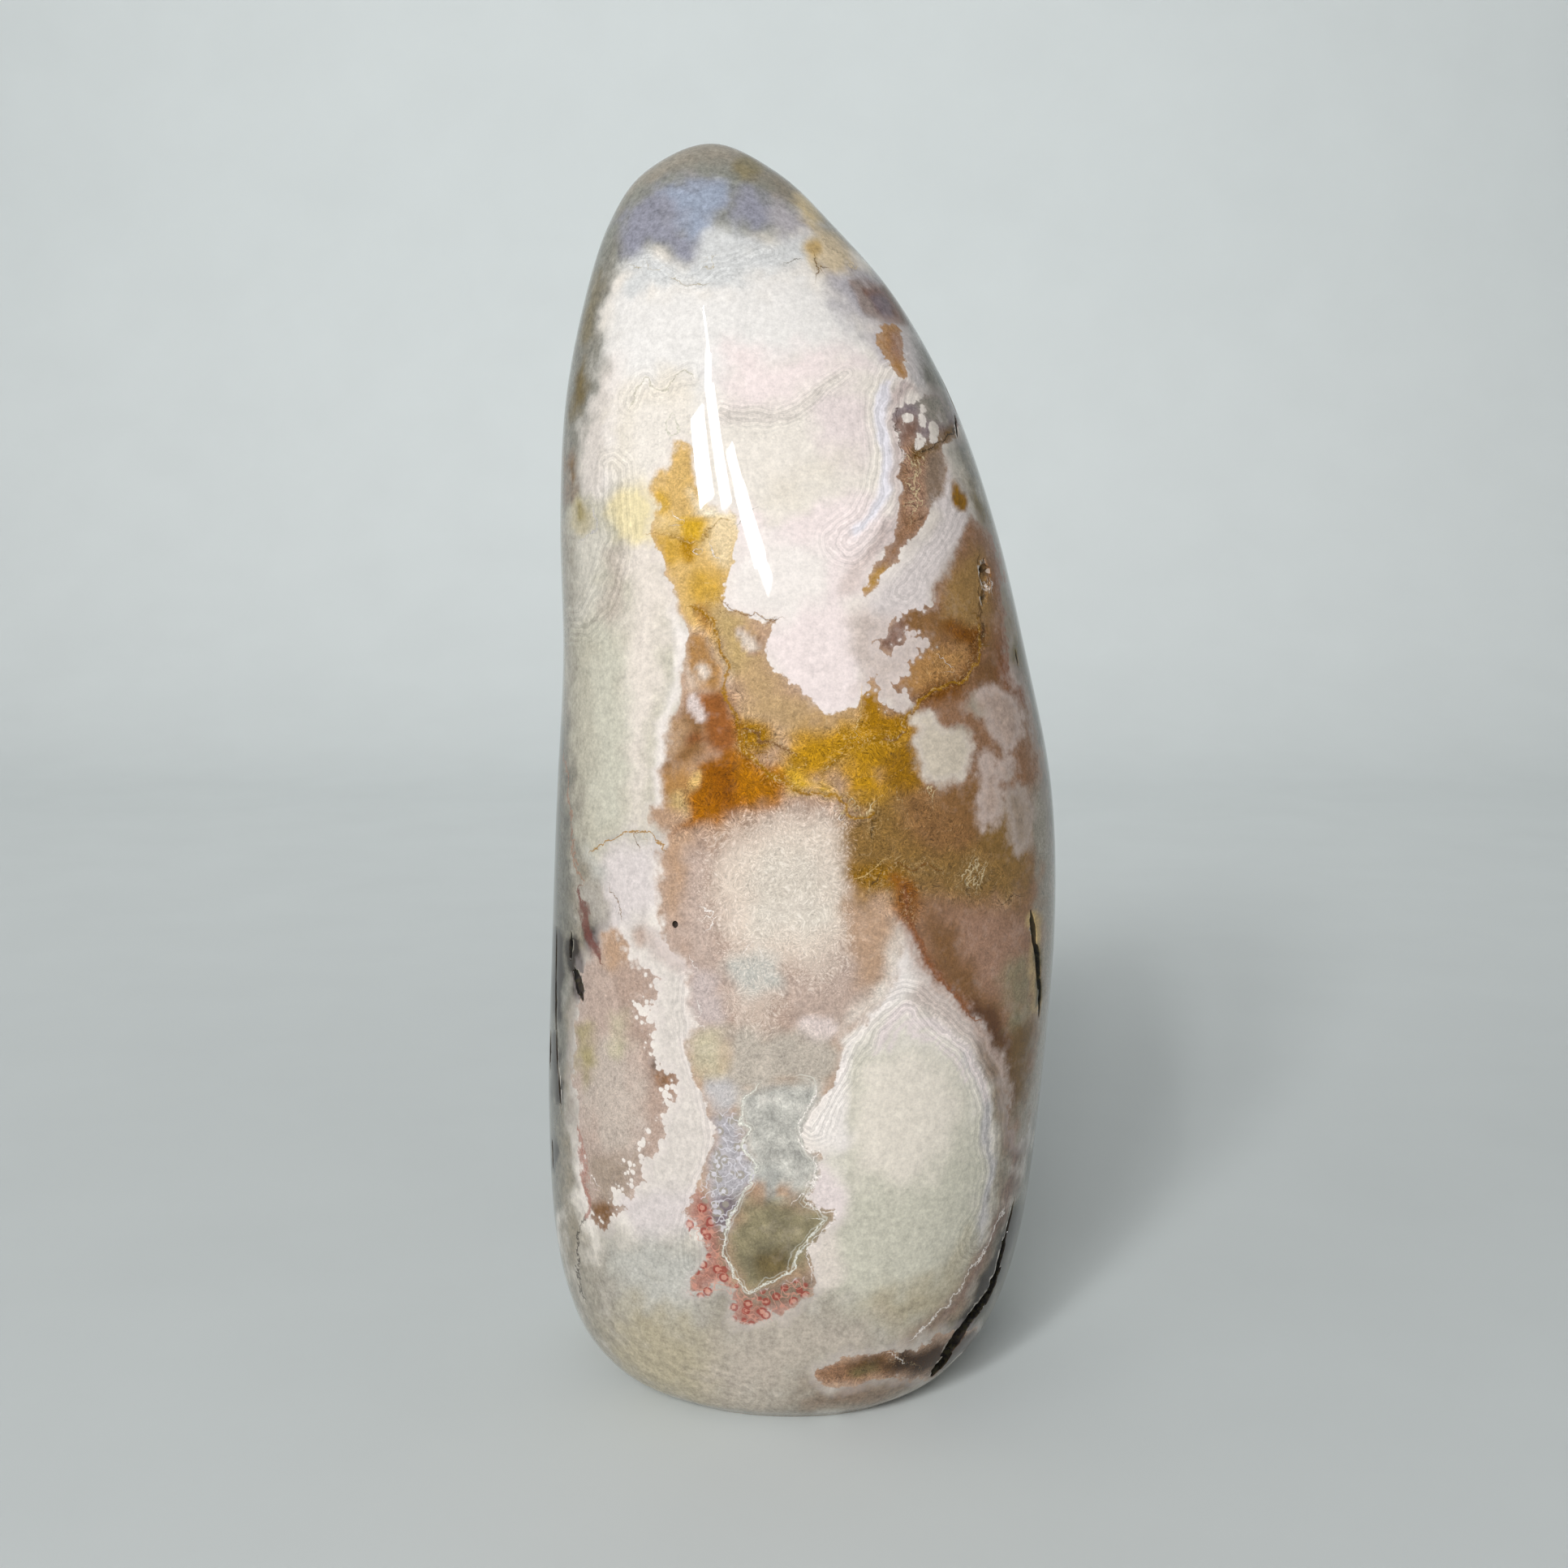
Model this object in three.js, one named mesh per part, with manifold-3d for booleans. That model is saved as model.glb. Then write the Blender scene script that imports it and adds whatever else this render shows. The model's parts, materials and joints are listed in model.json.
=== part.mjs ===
// Flower agate freeform: one polished piece of natural stone that stands on a flat foot.
// Millimetres. +Z is up, the shown side faces -Y, and the origin is the middle of the foot's box.
import * as THREE from 'three';
import { mergeVertices } from 'three/addons/utils/BufferGeometryUtils.js';
import Module from 'manifold-3d';

// Outline of the stone, from the foot to the tip: height, then how far it reaches left, right, front and back.
const HEIGHT = 148.4;
const STATIONS = [
  { z: 0, left: -20.2, right: 17.3, front: -20.8, back: 19.7 },
  { z: 2.5, left: -24.7, right: 20.9, front: -23.6, back: 22.8 },
  { z: 8, left: -28.5, right: 25, front: -25.6, back: 25.5 },
  { z: 18, left: -30.8, right: 28.1, front: -27, back: 27.2 },
  { z: 34, left: -31.3, right: 30.1, front: -27.8, back: 28 },
  { z: 54, left: -30.5, right: 31.2, front: -27.7, back: 27.8 },
  { z: 72, left: -29.7, right: 30.4, front: -26.6, back: 26.6 },
  { z: 88, left: -28.7, right: 27.3, front: -24.8, back: 24.6 },
  { z: 104, left: -28.6, right: 23.5, front: -22.2, back: 21.8 },
  { z: 118, left: -27.7, right: 18.5, front: -18.7, back: 18.4 },
  { z: 130, left: -25.4, right: 11.7, front: -14.6, back: 14.6 },
  { z: 139, left: -22.5, right: 3.8, front: -10.2, back: 10.6 },
  { z: 145, left: -18.3, right: -2.7, front: -5.4, back: 6.4 },
  { z: HEIGHT, left: -10.5, right: -10.5, front: 0.6, back: 0.6 },
];
const SQUARENESS = 2.25; // 2 is an ellipse, more is squarer
const SEGMENTS = 56; // facets around
const RINGS = 50; // rings of facets from the foot's edge to the tip
const FOOT_RINGS = 2; // rings that close the foot

// Hand polishing leaves the rings slightly lobed: lobes around, swing with height, share of the radius, start.
const LOBES = [
  { around: 3, perMm: 0.05, share: 0.006, start: 0 },
  { around: 5, perMm: -0.09, share: 0.004, start: 1 },
];

// Open pits and cracks. Each lump is cut out of the surface at a height z and a turn in degrees round from the front,
// positive to the right. long and wide are its half sizes on the surface, deep is how far it goes in, and lean is how
// far its long side leans from upright, in degrees.
const PITS = {
  upperRightCrack: [
    { z: 124.2, turn: 85, long: 3.2, wide: 0.6, deep: 1.1, lean: 0 },
    { z: 119.2, turn: 78, long: 3, wide: 0.5, deep: 1, lean: 14 },
    { z: 115.2, turn: 67, long: 2, wide: 0.4, deep: 0.8, lean: 40 },
  ],
  crystalVug: [
    { z: 98.4, turn: 56.5, long: 1.7, wide: 1.3, deep: 1.5, lean: 10 },
    { z: 96, turn: 53.5, long: 1.6, wide: 0.7, deep: 0.9, lean: 35 },
  ],
  rightPinhole: [{ z: 88.6, turn: 66.8, long: 1, wide: 0.35, deep: 0.7, lean: 0 }],
  mossyGroove: [
    { z: 57, turn: 58.4, long: 2.8, wide: 0.7, deep: 0.8, lean: -14 },
    { z: 52.6, turn: 61.6, long: 3, wide: 0.8, deep: 0.9, lean: -14 },
    { z: 48.6, turn: 64.2, long: 2.4, wide: 0.6, deep: 0.7, lean: -8 },
  ],
  lowerRightCrack: [
    { z: 21.4, turn: 60.4, long: 2.6, wide: 0.4, deep: 0.8, lean: 14 },
    { z: 17.6, turn: 59, long: 2.6, wide: 0.75, deep: 1.2, lean: 4 },
    { z: 14, turn: 58.2, long: 2.6, wide: 1.15, deep: 1.8, lean: 12 },
    { z: 11.4, turn: 52.5, long: 3.1, wide: 1.25, deep: 2, lean: 52 },
    { z: 8.6, turn: 46.8, long: 3, wide: 1.5, deep: 2.1, lean: 36 },
    { z: 5.4, turn: 45.4, long: 2.2, wide: 1.3, deep: 1.7, lean: 4 },
  ],
  upperLeftPit: [
    { z: 55.2, turn: -60.5, long: 1.7, wide: 0.5, deep: 1.1, lean: 0 },
    { z: 51, turn: -56.2, long: 2.2, wide: 0.95, deep: 1.6, lean: -28 },
  ],
  leftCrack: [
    { z: 53.2, turn: -72, long: 3.6, wide: 0.4, deep: 0.9, lean: 0 },
    { z: 47.4, turn: -71.4, long: 3.6, wide: 0.45, deep: 1, lean: -4 },
    { z: 41.8, turn: -69.4, long: 3.4, wide: 0.4, deep: 0.9, lean: -10 },
    { z: 37, turn: -66.4, long: 2.8, wide: 0.35, deep: 0.8, lean: -14 },
  ],
  leftEdgePit: [{ z: 40.4, turn: -78, long: 2.4, wide: 0.7, deep: 1.3, lean: 0 }],
  lowerLeftPit: [{ z: 27.8, turn: -75, long: 1.9, wide: 0.45, deep: 1, lean: 0 }],
  frontPinhole: [{ z: 60, turn: -25.2, long: 0.4, wide: 0.35, deep: 0.6, lean: 0 }],
  backCrack: [
    { z: 86, turn: 156, long: 3, wide: 0.6, deep: 1.1, lean: 24 },
    { z: 81, turn: 160, long: 3, wide: 0.9, deep: 1.4, lean: 10 },
  ],
  lowerBackPit: [
    { z: 33, turn: 204, long: 2.8, wide: 0.8, deep: 1.2, lean: -32 },
    { z: 29.6, turn: 200, long: 2, wide: 1, deep: 1.4, lean: -10 },
  ],
};
const PIT_ROUGHNESS = 0.16; // share of a lump's radius that its crystal faces stand in or out
const LARGE_PIT_MM = 1.2; // a lump at least this deep has finer facets

const { Manifold, Mesh: ManifoldMesh } = await loadManifold();

async function loadManifold() {
  const library = await Module();
  library.setup();
  return library;
}

// Two smooth curves run from the foot to the tip, one for the sides and one for the front and back. A mirrored
// station past the tip makes the curves turn over there, so the tip is round.
function sideCurves() {
  const beforeTip = STATIONS[STATIONS.length - 2];
  const mirrored = { z: beforeTip.z, left: beforeTip.right, right: beforeTip.left };
  Object.assign(mirrored, { front: beforeTip.back, back: beforeTip.front });
  const stations = [...STATIONS, mirrored];
  const curve = (pick) => new THREE.CatmullRomCurve3(stations.map(pick), false, 'catmullrom', 0.5);
  return {
    across: curve((s) => new THREE.Vector3(s.left, s.right, s.z)),
    along: curve((s) => new THREE.Vector3(s.front, s.back, s.z)),
  };
}

const CURVES = sideCurves();

const signedPower = (value) => Math.sign(value) * Math.abs(value) ** (2 / SQUARENESS);

// A point of the polished surface. climb runs from 0 at the foot's edge to 1 at the tip, turn is in radians.
function surfacePoint(climb, turn) {
  const t = (climb * (STATIONS.length - 1)) / STATIONS.length;
  const across = CURVES.across.getPoint(t);
  const along = CURVES.along.getPoint(t);
  const z = across.z;
  let swell = 1;
  for (const lobe of LOBES) swell += lobe.share * Math.sin(lobe.around * turn + lobe.perMm * z + lobe.start);
  const x = (across.x + across.y) / 2 + ((across.y - across.x) / 2) * swell * signedPower(Math.sin(turn));
  const y = (along.x + along.y) / 2 - ((along.y - along.x) / 2) * swell * signedPower(Math.cos(turn));
  return new THREE.Vector3(x, y, z);
}

// The climb at which the surface is at a given height.
function climbAt(z) {
  let low = 0;
  let high = 1;
  for (let step = 0; step < 40; step += 1) {
    const middle = (low + high) / 2;
    if (surfacePoint(middle, 0).z < z) low = middle;
    else high = middle;
  }
  return (low + high) / 2;
}

// The polished body: a sphere's grid, whose rings are laid on the surface and whose last rings close the foot.
function bodyGeometry() {
  const rows = RINGS + FOOT_RINGS;
  const geometry = new THREE.SphereGeometry(1, SEGMENTS, rows);
  const position = geometry.attributes.position;
  const footMiddle = surfacePoint(0, 0).add(surfacePoint(0, Math.PI)).multiplyScalar(0.5);
  for (let row = 0; row <= rows; row += 1) {
    for (let column = 0; column <= SEGMENTS; column += 1) {
      const turn = (2 * Math.PI * (column % SEGMENTS)) / SEGMENTS;
      const climb = Math.max(0, 1 - row / RINGS);
      const point = surfacePoint(climb, turn);
      if (row > RINGS) point.lerp(footMiddle, (row - RINGS) / FOOT_RINGS);
      position.setXYZ(row * (SEGMENTS + 1) + column, point.x, point.y, point.z);
    }
  }
  return geometry;
}

// One lump of a pit: a ball with rough facets, laid on the surface and leaning along it.
function lumpGeometry({ z, turn, long, wide, deep, lean }) {
  const angle = THREE.MathUtils.degToRad(turn);
  const climb = climbAt(z);
  const nudge = 0.002;
  const centre = surfacePoint(climb, angle);
  const up = surfacePoint(climb + nudge, angle).sub(surfacePoint(climb - nudge, angle)).normalize();
  const right = surfacePoint(climb, angle + nudge).sub(surfacePoint(climb, angle - nudge)).normalize();
  const out = new THREE.Vector3().crossVectors(right, up).normalize();
  const leaning = THREE.MathUtils.degToRad(lean);
  const longways = up.clone().multiplyScalar(Math.cos(leaning)).addScaledVector(right, Math.sin(leaning));
  const sideways = new THREE.Vector3().crossVectors(longways, out).normalize();
  longways.crossVectors(out, sideways);
  const geometry = new THREE.IcosahedronGeometry(1, deep >= LARGE_PIT_MM ? 2 : 1);
  const position = geometry.attributes.position;
  const point = new THREE.Vector3();
  for (let i = 0; i < position.count; i += 1) {
    point.fromBufferAttribute(position, i);
    const rough = Math.sin(7.1 * point.x + 3.3 * z) * Math.sin(6.3 * point.y + turn) * Math.sin(5.7 * point.z + 2);
    point.multiplyScalar(1 + PIT_ROUGHNESS * rough);
    position.setXYZ(i, point.x * wide, point.y * long, point.z * deep);
  }
  const basis = new THREE.Matrix4().makeBasis(sideways, longways, out).setPosition(centre);
  return geometry.applyMatrix4(basis);
}

// A closed solid from a closed geometry, by its positions alone.
function toSolid(geometry) {
  const bare = geometry.clone();
  bare.deleteAttribute('normal');
  bare.deleteAttribute('uv');
  const merged = mergeVertices(bare, 1e-4);
  const triVerts = [];
  const index = merged.index.array;
  for (let i = 0; i < index.length; i += 3) {
    const [a, b, c] = [index[i], index[i + 1], index[i + 2]];
    if (a !== b && b !== c && c !== a) triVerts.push(a, b, c);
  }
  const vertProperties = new Float32Array(merged.attributes.position.array);
  return new Manifold(new ManifoldMesh({ numProp: 3, vertProperties, triVerts: new Uint32Array(triVerts) }));
}

function toGeometry(solid) {
  const { vertProperties, triVerts } = solid.getMesh();
  const geometry = new THREE.BufferGeometry();
  geometry.setAttribute('position', new THREE.BufferAttribute(vertProperties, 3));
  geometry.setIndex(new THREE.BufferAttribute(triVerts, 1));
  geometry.computeVertexNormals();
  return geometry;
}

function stone() {
  let solid = toSolid(bodyGeometry());
  for (const lumps of Object.values(PITS)) {
    for (const lump of lumps) solid = solid.subtract(toSolid(lumpGeometry(lump)));
  }
  const material = new THREE.MeshStandardMaterial({ color: 0xc9bfae, roughness: 0.12, metalness: 0 });
  const mesh = new THREE.Mesh(toGeometry(solid), material);
  mesh.name = 'stone';
  return mesh;
}

const group = new THREE.Group();
group.name = 'flower_agate_freeform';
group.add(stone());

export default group;
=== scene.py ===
# Flower agate freeform: the polished stone with its pits cut in and its markings drawn on, on a plain sweep.
import json
import math

import bmesh
import bpy
import numpy as np
from mathutils import Matrix, Vector, noise

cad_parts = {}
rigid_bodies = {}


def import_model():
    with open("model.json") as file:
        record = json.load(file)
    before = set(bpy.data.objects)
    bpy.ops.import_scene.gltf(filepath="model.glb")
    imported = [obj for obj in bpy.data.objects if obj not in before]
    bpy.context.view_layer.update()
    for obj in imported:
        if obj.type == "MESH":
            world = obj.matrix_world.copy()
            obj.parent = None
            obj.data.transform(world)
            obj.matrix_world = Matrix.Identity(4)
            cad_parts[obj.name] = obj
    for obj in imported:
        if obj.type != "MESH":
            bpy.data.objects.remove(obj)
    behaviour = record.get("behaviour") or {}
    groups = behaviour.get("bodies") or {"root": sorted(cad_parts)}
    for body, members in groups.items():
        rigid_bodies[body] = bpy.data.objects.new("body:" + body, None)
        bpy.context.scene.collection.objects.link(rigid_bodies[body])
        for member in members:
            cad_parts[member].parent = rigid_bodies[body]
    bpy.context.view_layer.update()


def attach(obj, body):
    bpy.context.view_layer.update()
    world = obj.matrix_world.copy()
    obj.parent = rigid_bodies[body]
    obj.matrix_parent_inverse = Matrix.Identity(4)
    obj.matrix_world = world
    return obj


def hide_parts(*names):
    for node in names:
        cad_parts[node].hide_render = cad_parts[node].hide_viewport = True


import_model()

MM = 0.001

# The stone's level sections, from the foot to the tip, in mm: height, then how far each one reaches left,
# right, front and back.
STATIONS = (
    (0, -20.2, 17.3, -20.8, 19.7),
    (2.5, -24.7, 20.9, -23.6, 22.8),
    (8, -28.5, 25, -25.6, 25.5),
    (18, -30.8, 28.1, -27, 27.2),
    (34, -31.3, 30.1, -27.8, 28),
    (54, -30.5, 31.2, -27.7, 27.8),
    (72, -29.7, 30.4, -26.6, 26.6),
    (88, -28.7, 27.3, -24.8, 24.6),
    (104, -28.6, 23.5, -22.2, 21.8),
    (118, -27.7, 18.5, -18.7, 18.4),
    (130, -25.4, 11.7, -14.6, 14.6),
    (139, -22.5, 3.8, -10.2, 10.6),
    (145, -18.3, -2.7, -5.4, 6.4),
    (148.4, -10.5, -10.5, 0.6, 0.6),
)
SQUARENESS = 2.25  # exponent of a level section: 2 is an ellipse, and more is squarer
# Faint lobes that wind up round the stone: how many, turn per mm of height, share of the radius and start.
LOBES = ((3, 0.05, 0.006, 0.0), (5, -0.09, 0.004, 1.0))
DENSE_SECTIONS = 4000  # sections worked out once, for looking up a height
LEAST_HALF_SIZE = 0.3  # near the tip, sections count as no smaller than this, in mm

# Open pits and cracks: height, turn round from the front in degrees, half length, half width, depth and lean.
PITS = {
    "upper_right_crack": (
        (124.2, 85, 3.2, 0.6, 1.1, 0), (119.2, 78, 3, 0.5, 1, 14), (115.2, 67, 2, 0.4, 0.8, 40),
    ),
    "crystal_vug": ((98.4, 56.5, 1.7, 1.3, 1.5, 10), (96, 53.5, 1.6, 0.7, 0.9, 35)),
    "right_pinhole": ((88.6, 66.8, 1, 0.35, 0.7, 0),),
    "mossy_groove": (
        (57, 58.4, 2.8, 0.7, 0.8, -14), (52.6, 61.6, 3, 0.8, 0.9, -14), (48.6, 64.2, 2.4, 0.6, 0.7, -8),
    ),
    "lower_right_crack": (
        (21.4, 60.4, 2.6, 0.4, 0.8, 14), (17.6, 59, 2.6, 0.75, 1.2, 4), (14, 58.2, 2.6, 1.15, 1.8, 12),
        (11.4, 52.5, 3.1, 1.25, 2, 52), (8.6, 46.8, 3, 1.5, 2.1, 36), (5.4, 45.4, 2.2, 1.3, 1.7, 4),
    ),
    "upper_left_pit": ((55.2, -60.5, 1.7, 0.5, 1.1, 0), (51, -56.2, 2.2, 0.95, 1.6, -28)),
    "left_crack": (
        (53.2, -72, 3.6, 0.4, 0.9, 0), (47.4, -71.4, 3.6, 0.45, 1, -4),
        (41.8, -69.4, 3.4, 0.4, 0.9, -10), (37, -66.4, 2.8, 0.35, 0.8, -14),
    ),
    "left_edge_pit": ((40.4, -78, 2.4, 0.7, 1.3, 0),),
    "lower_left_pit": ((27.8, -75, 1.9, 0.45, 1, 0),),
    "front_pinhole": ((60, -25.2, 0.4, 0.35, 0.6, 0),),
    "back_crack": ((86, 156, 3, 0.6, 1.1, 24), (81, 160, 3, 0.9, 1.4, 10)),
    "lower_back_pit": ((33, 204, 2.8, 0.8, 1.2, -32), (29.6, 200, 2, 1, 1.4, -10)),
}
PIT_ROUGHNESS = 0.3  # share of a lump's radius that its crystal faces stand in or out
PIT_CRYSTALS = ((1.1, 1.0), (2.7, 0.6))  # swings per mm of a lump's rough faces, and their shares
ROUND_LUMP = 4  # how often a lump deeper than 1 mm is divided
SMALL_LUMP = 3  # and any other one
NUDGE = 0.002  # a step in parameter and turn, short enough to show which way the surface lies there
SHARP_ANGLE = math.radians(32)  # the rims and crystal faces of the pits are sharper than this

# The grid of the polished surface, finer on the shown side.
FRONT_HALF_TURN = math.radians(96)
FRONT_COLUMNS = 190
BACK_COLUMNS = 86
ROWS = 312
FOOT_ROWS = 4

# The drawing sheet stands through the stone's middle, square to the camera's line of sight. It is ruled in
# tenths of a millimetre, right and down from its top left corner, and every outline below is drawn on it.
SHEET_MIDDLE = (-1.9, 0.2, 72.2)
SHEET_SIDE = 193.2
SHEET_RULING = 0.1
CAMERA_AWAY = 240.0
CAMERA_PITCH = math.radians(8)
SENSOR_MM = 36.0
CLIP_START = 0.01  # m

BEHIND_SCALE = 0.6  # the hidden side takes its markings from the sheet at this scale
BEHIND_LIFT = 24.0  # and from this much higher up it at mid height, in mm
HIDDEN_FADE = (0.0, 0.2)  # how far a face turns from the camera where those set in, and where they are whole
FOOT_HEIGHT = 0.01  # points lower than this, in mm, are on the sawn foot
# Random swings: their size in mm, their reach and their seed.
EDGE_SWAY = ((3.2, 0.55, 1), (1.3, 0.28, 2))  # of drawn edges, in mm
WASH_FRAY = ((2.6, 0.8, 3), (1.0, 0.3, 4))  # of washes, in shares of an edge's softness
BEHIND_SWAY = ((30, 7.0, 5), (9, 2.2, 8))  # of the hidden side's markings, in mm
HIDDEN_WANDER = ((7, 0.4, 9),)  # of where those set in, in the measure of HIDDEN_FADE
SEED_STEP = (1.0, 2.3, -1.7)  # how far apart in the noise one seed and the next are
SWAY_APART = (31.4, 17.3, 5.7)  # how far apart in it the swings across and down are taken
OUTLINE_STEPS = 4  # pieces that an outline is bent into between two of its points
LINE_STEPS = 5  # and a line
FAR = 5.0  # distances from an outline are worked out this far, in mm
TINY = 1e-12  # keeps a length from being divided by nothing
VEIN_REACH = (0.5, 1.3)  # how far beside a vein, in mm, it is still whole and is gone
BAND_CORE = 0.2  # share of their reach over which bands keep their full strength

# Colours of the stone, as a screen shows them.
RING_RED = (150, 50, 40)
RING_PEACH = (214, 150, 130)
CHALK = (236, 228, 222)
PINK_WHITE = (235, 221, 218)
COOL_WHITE = (228, 224, 220)
ROSY_WHITE = (227, 214, 211)
CREAM = (230, 222, 212)
WARM_CREAM = (223, 212, 201)
IVORY = (226, 217, 204)
BUTTER_WHITE = (235, 223, 199)
BUTTER = (231, 207, 165)
STRAW = (208, 190, 160)
LAVENDER_WHITE = (226, 222, 228)
PEARL = (214, 205, 197)
PEARL_PINK = (212, 202, 199)
IVORY_SHADE = (206, 200, 188)
SAGE = (200, 196, 180)
SAGE_SHADE = (188, 182, 165)
PALE_OLIVE = (176, 165, 141)
OLIVE_CREAM = (192, 181, 154)
GREIGE = (183, 172, 159)
POCKET_GREY = (189, 186, 178)
PALE_GREY = (174, 166, 156)
GREY_LAVENDER = (190, 185, 184)
ROSE_WHITE = (200, 185, 177)
BEIGE = (191, 176, 164)
ROSE_BEIGE = (184, 162, 149)
SUGAR = (216, 200, 185)
TAN = (184, 153, 112)
ROSE_TAN = (182, 149, 122)
HONEY = (180, 143, 78)
SAND = (171, 137, 103)
TAUPE = (161, 143, 127)
GREY = (158, 150, 136)
GREY_TAUPE = (148, 138, 121)
GREY_GREEN = (138, 138, 129)
SMOKE = (134, 130, 120)
DARK_SMOKE = (115, 112, 102)
OLIVE_SMOKE = (128, 118, 94)
BLUE_SMOKE = (152, 161, 178)
LILAC_SMOKE = (143, 143, 155)
DIM_LILAC = (126, 113, 118)
MAUVE = (138, 117, 99)
MAUVE_GREY = (148, 134, 128)
DUSTY_ROSE = (157, 121, 99)
ROSE_BROWN = (143, 106, 78)
WARM_BROWN = (136, 98, 59)
DARK_BROWN = (123, 86, 50)
OLIVE_TAN = (134, 101, 52)
KHAKI = (152, 118, 70)
OLIVE_BROWN = (112, 81, 31)
UMBER = (94, 59, 31)
RUSSET = (147, 89, 42)
BURNT = (155, 94, 2)
RUST = (133, 79, 40)
DARK_AMBER = (118, 70, 4)
OCHRE = (140, 98, 9)
DEEP_GOLD = (160, 113, 6)
GOLD = (178, 130, 18)
BRIGHT_GOLD = (207, 162, 42)
AMBER = (210, 173, 108)
TAWNY = (188, 160, 110)
PALE_AMBER = (201, 158, 66)
APRICOT = (219, 187, 126)
CORAL = (167, 117, 102)
POCKET_OLIVE = (138, 128, 99)
MOSS = (58, 54, 24)
BLACK_BROWN = (40, 26, 12)
BROWN_SHADOW = (81, 54, 19)
BLOND = (210, 190, 150)
GREEN_WHITE = (224, 223, 212)
DIM_LAVENDER = (177, 172, 176)
DULL_ROSE = (176, 151, 136)
ROSE_PEARL = (213, 197, 191)
ROSE_GREY = (192, 176, 171)
KHAKI_CREAM = (163, 149, 106)
PLUM_BROWN = (127, 96, 82)
OLIVE_DRAB = (114, 98, 61)
CARAMEL = (171, 127, 76)
BURNT_AMBER = (134, 77, 2)
STEEL = (164, 163, 157)
DIM_OLIVE = (98, 92, 74)
DEEP_BROWN = (58, 34, 8)
GOLD_BROWN = (164, 104, 2)
LEMON = (224, 209, 166)
MIST = (208, 208, 207)
MAROON = (104, 44, 32)
OAT = (203, 191, 174)

# Clear, coloured quartz that shows between the chalky growths.
CLEAR_GROUND = (
    # the amber tongue and the heart of the stone, down to the pocket
    "833,541 842,546 848,552 852,565 857,590 860,605 868,618 886,628 900,634 908,645 913,658 904,680"
    " 904,692 914,703 905,716 895,735 893,742 905,750 925,757 960,764 1000,800 1050,800 1103,764 1120,752"
    " 1145,748 1152,730 1165,710 1178,680 1190,650 1203,640 1222,660 1232,700 1238,760 1242,830 1262,860"
    " 1284,960 1300,1060 1310,1130 1310,1180 1304,1250 1294,1310 1276,1365 1250,1412 1240,1325 1232,1300"
    " 1215,1280 1205,1260 1190,1240 1160,1215 1148,1196 1132,1178 1120,1158 1111,1140 1112,1170 1106,1200"
    " 1090,1230 1065,1260 1045,1275 1035,1300 1028,1330 1012,1350 1003,1365 993,1382 989,1397 990,1412"
    " 998,1420 1009,1424 1007,1442 998,1468 1001,1484 1012,1490 1028,1492 1028,1508 1015,1516 1005,1532"
    " 998,1548 1001,1570 1001,1590 985,1600 965,1622 950,1616 935,1626 918,1630 905,1622 905,1602 888,1578"
    " 870,1590 852,1592 856,1573 870,1550 865,1514 848,1500 858,1464 868,1436 880,1410 878,1378 866,1352"
    " 852,1318 846,1290 855,1260 850,1230 845,1192 834,1180 822,1160 815,1130 812,1095 814,1060 820,1030"
    " 812,1022 803,1010 805,995 815,985 815,960 820,940 820,920 822,895 835,880 838,860 840,830 845,800"
    " 848,780 843,765 835,745 828,720 822,700 815,680 805,662 808,640 808,620 803,610 800,595 812,585"
    " 822,575 828,560",
    # mauve and crystal brown, right of the lavender band
    "1108,503 1115,497 1130,501 1134,487 1148,487 1164,494 1178,505 1184,520 1178,538 1163,552 1165,575"
    " 1163,605 1150,622 1141,636 1130,655 1118,666 1112,680 1100,698 1085,708 1068,735 1062,747 1060,738"
    " 1067,722 1076,704 1086,690 1096,674 1101,660 1107,640 1108,615 1110,585 1110,560 1107,540 1103,520",
    # amber ovals on the shoulder
    "1084,400 1104,400 1108,412 1113,428 1118,445 1117,462 1110,467 1103,462 1094,445 1087,432 1084,418",
    # pink quartz low on the left
    "742,1152 764,1147 772,1180 790,1190 804,1208 802,1230 806,1255 802,1280 806,1305 820,1322 830,1332"
    " 832,1352 820,1366 814,1385 810,1410 796,1420 790,1436 794,1450 786,1462 778,1456 780,1472 770,1484"
    " 764,1470 756,1466 750,1480 757,1492 750,1504 744,1513 733,1502 726,1486 722,1460 717,1430 714,1400"
    " 710,1350 708,1300 712,1250 716,1210 724,1180",
    # brown patch by the foot
    "1003,1690 1020,1683 1040,1675 1055,1670 1075,1668 1095,1672 1105,1665 1130,1660 1150,1650 1180,1640"
    " 1205,1640 1215,1655 1180,1692 1140,1700 1105,1697 1080,1700 1050,1706 1028,1707 1010,1700",
)
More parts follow.
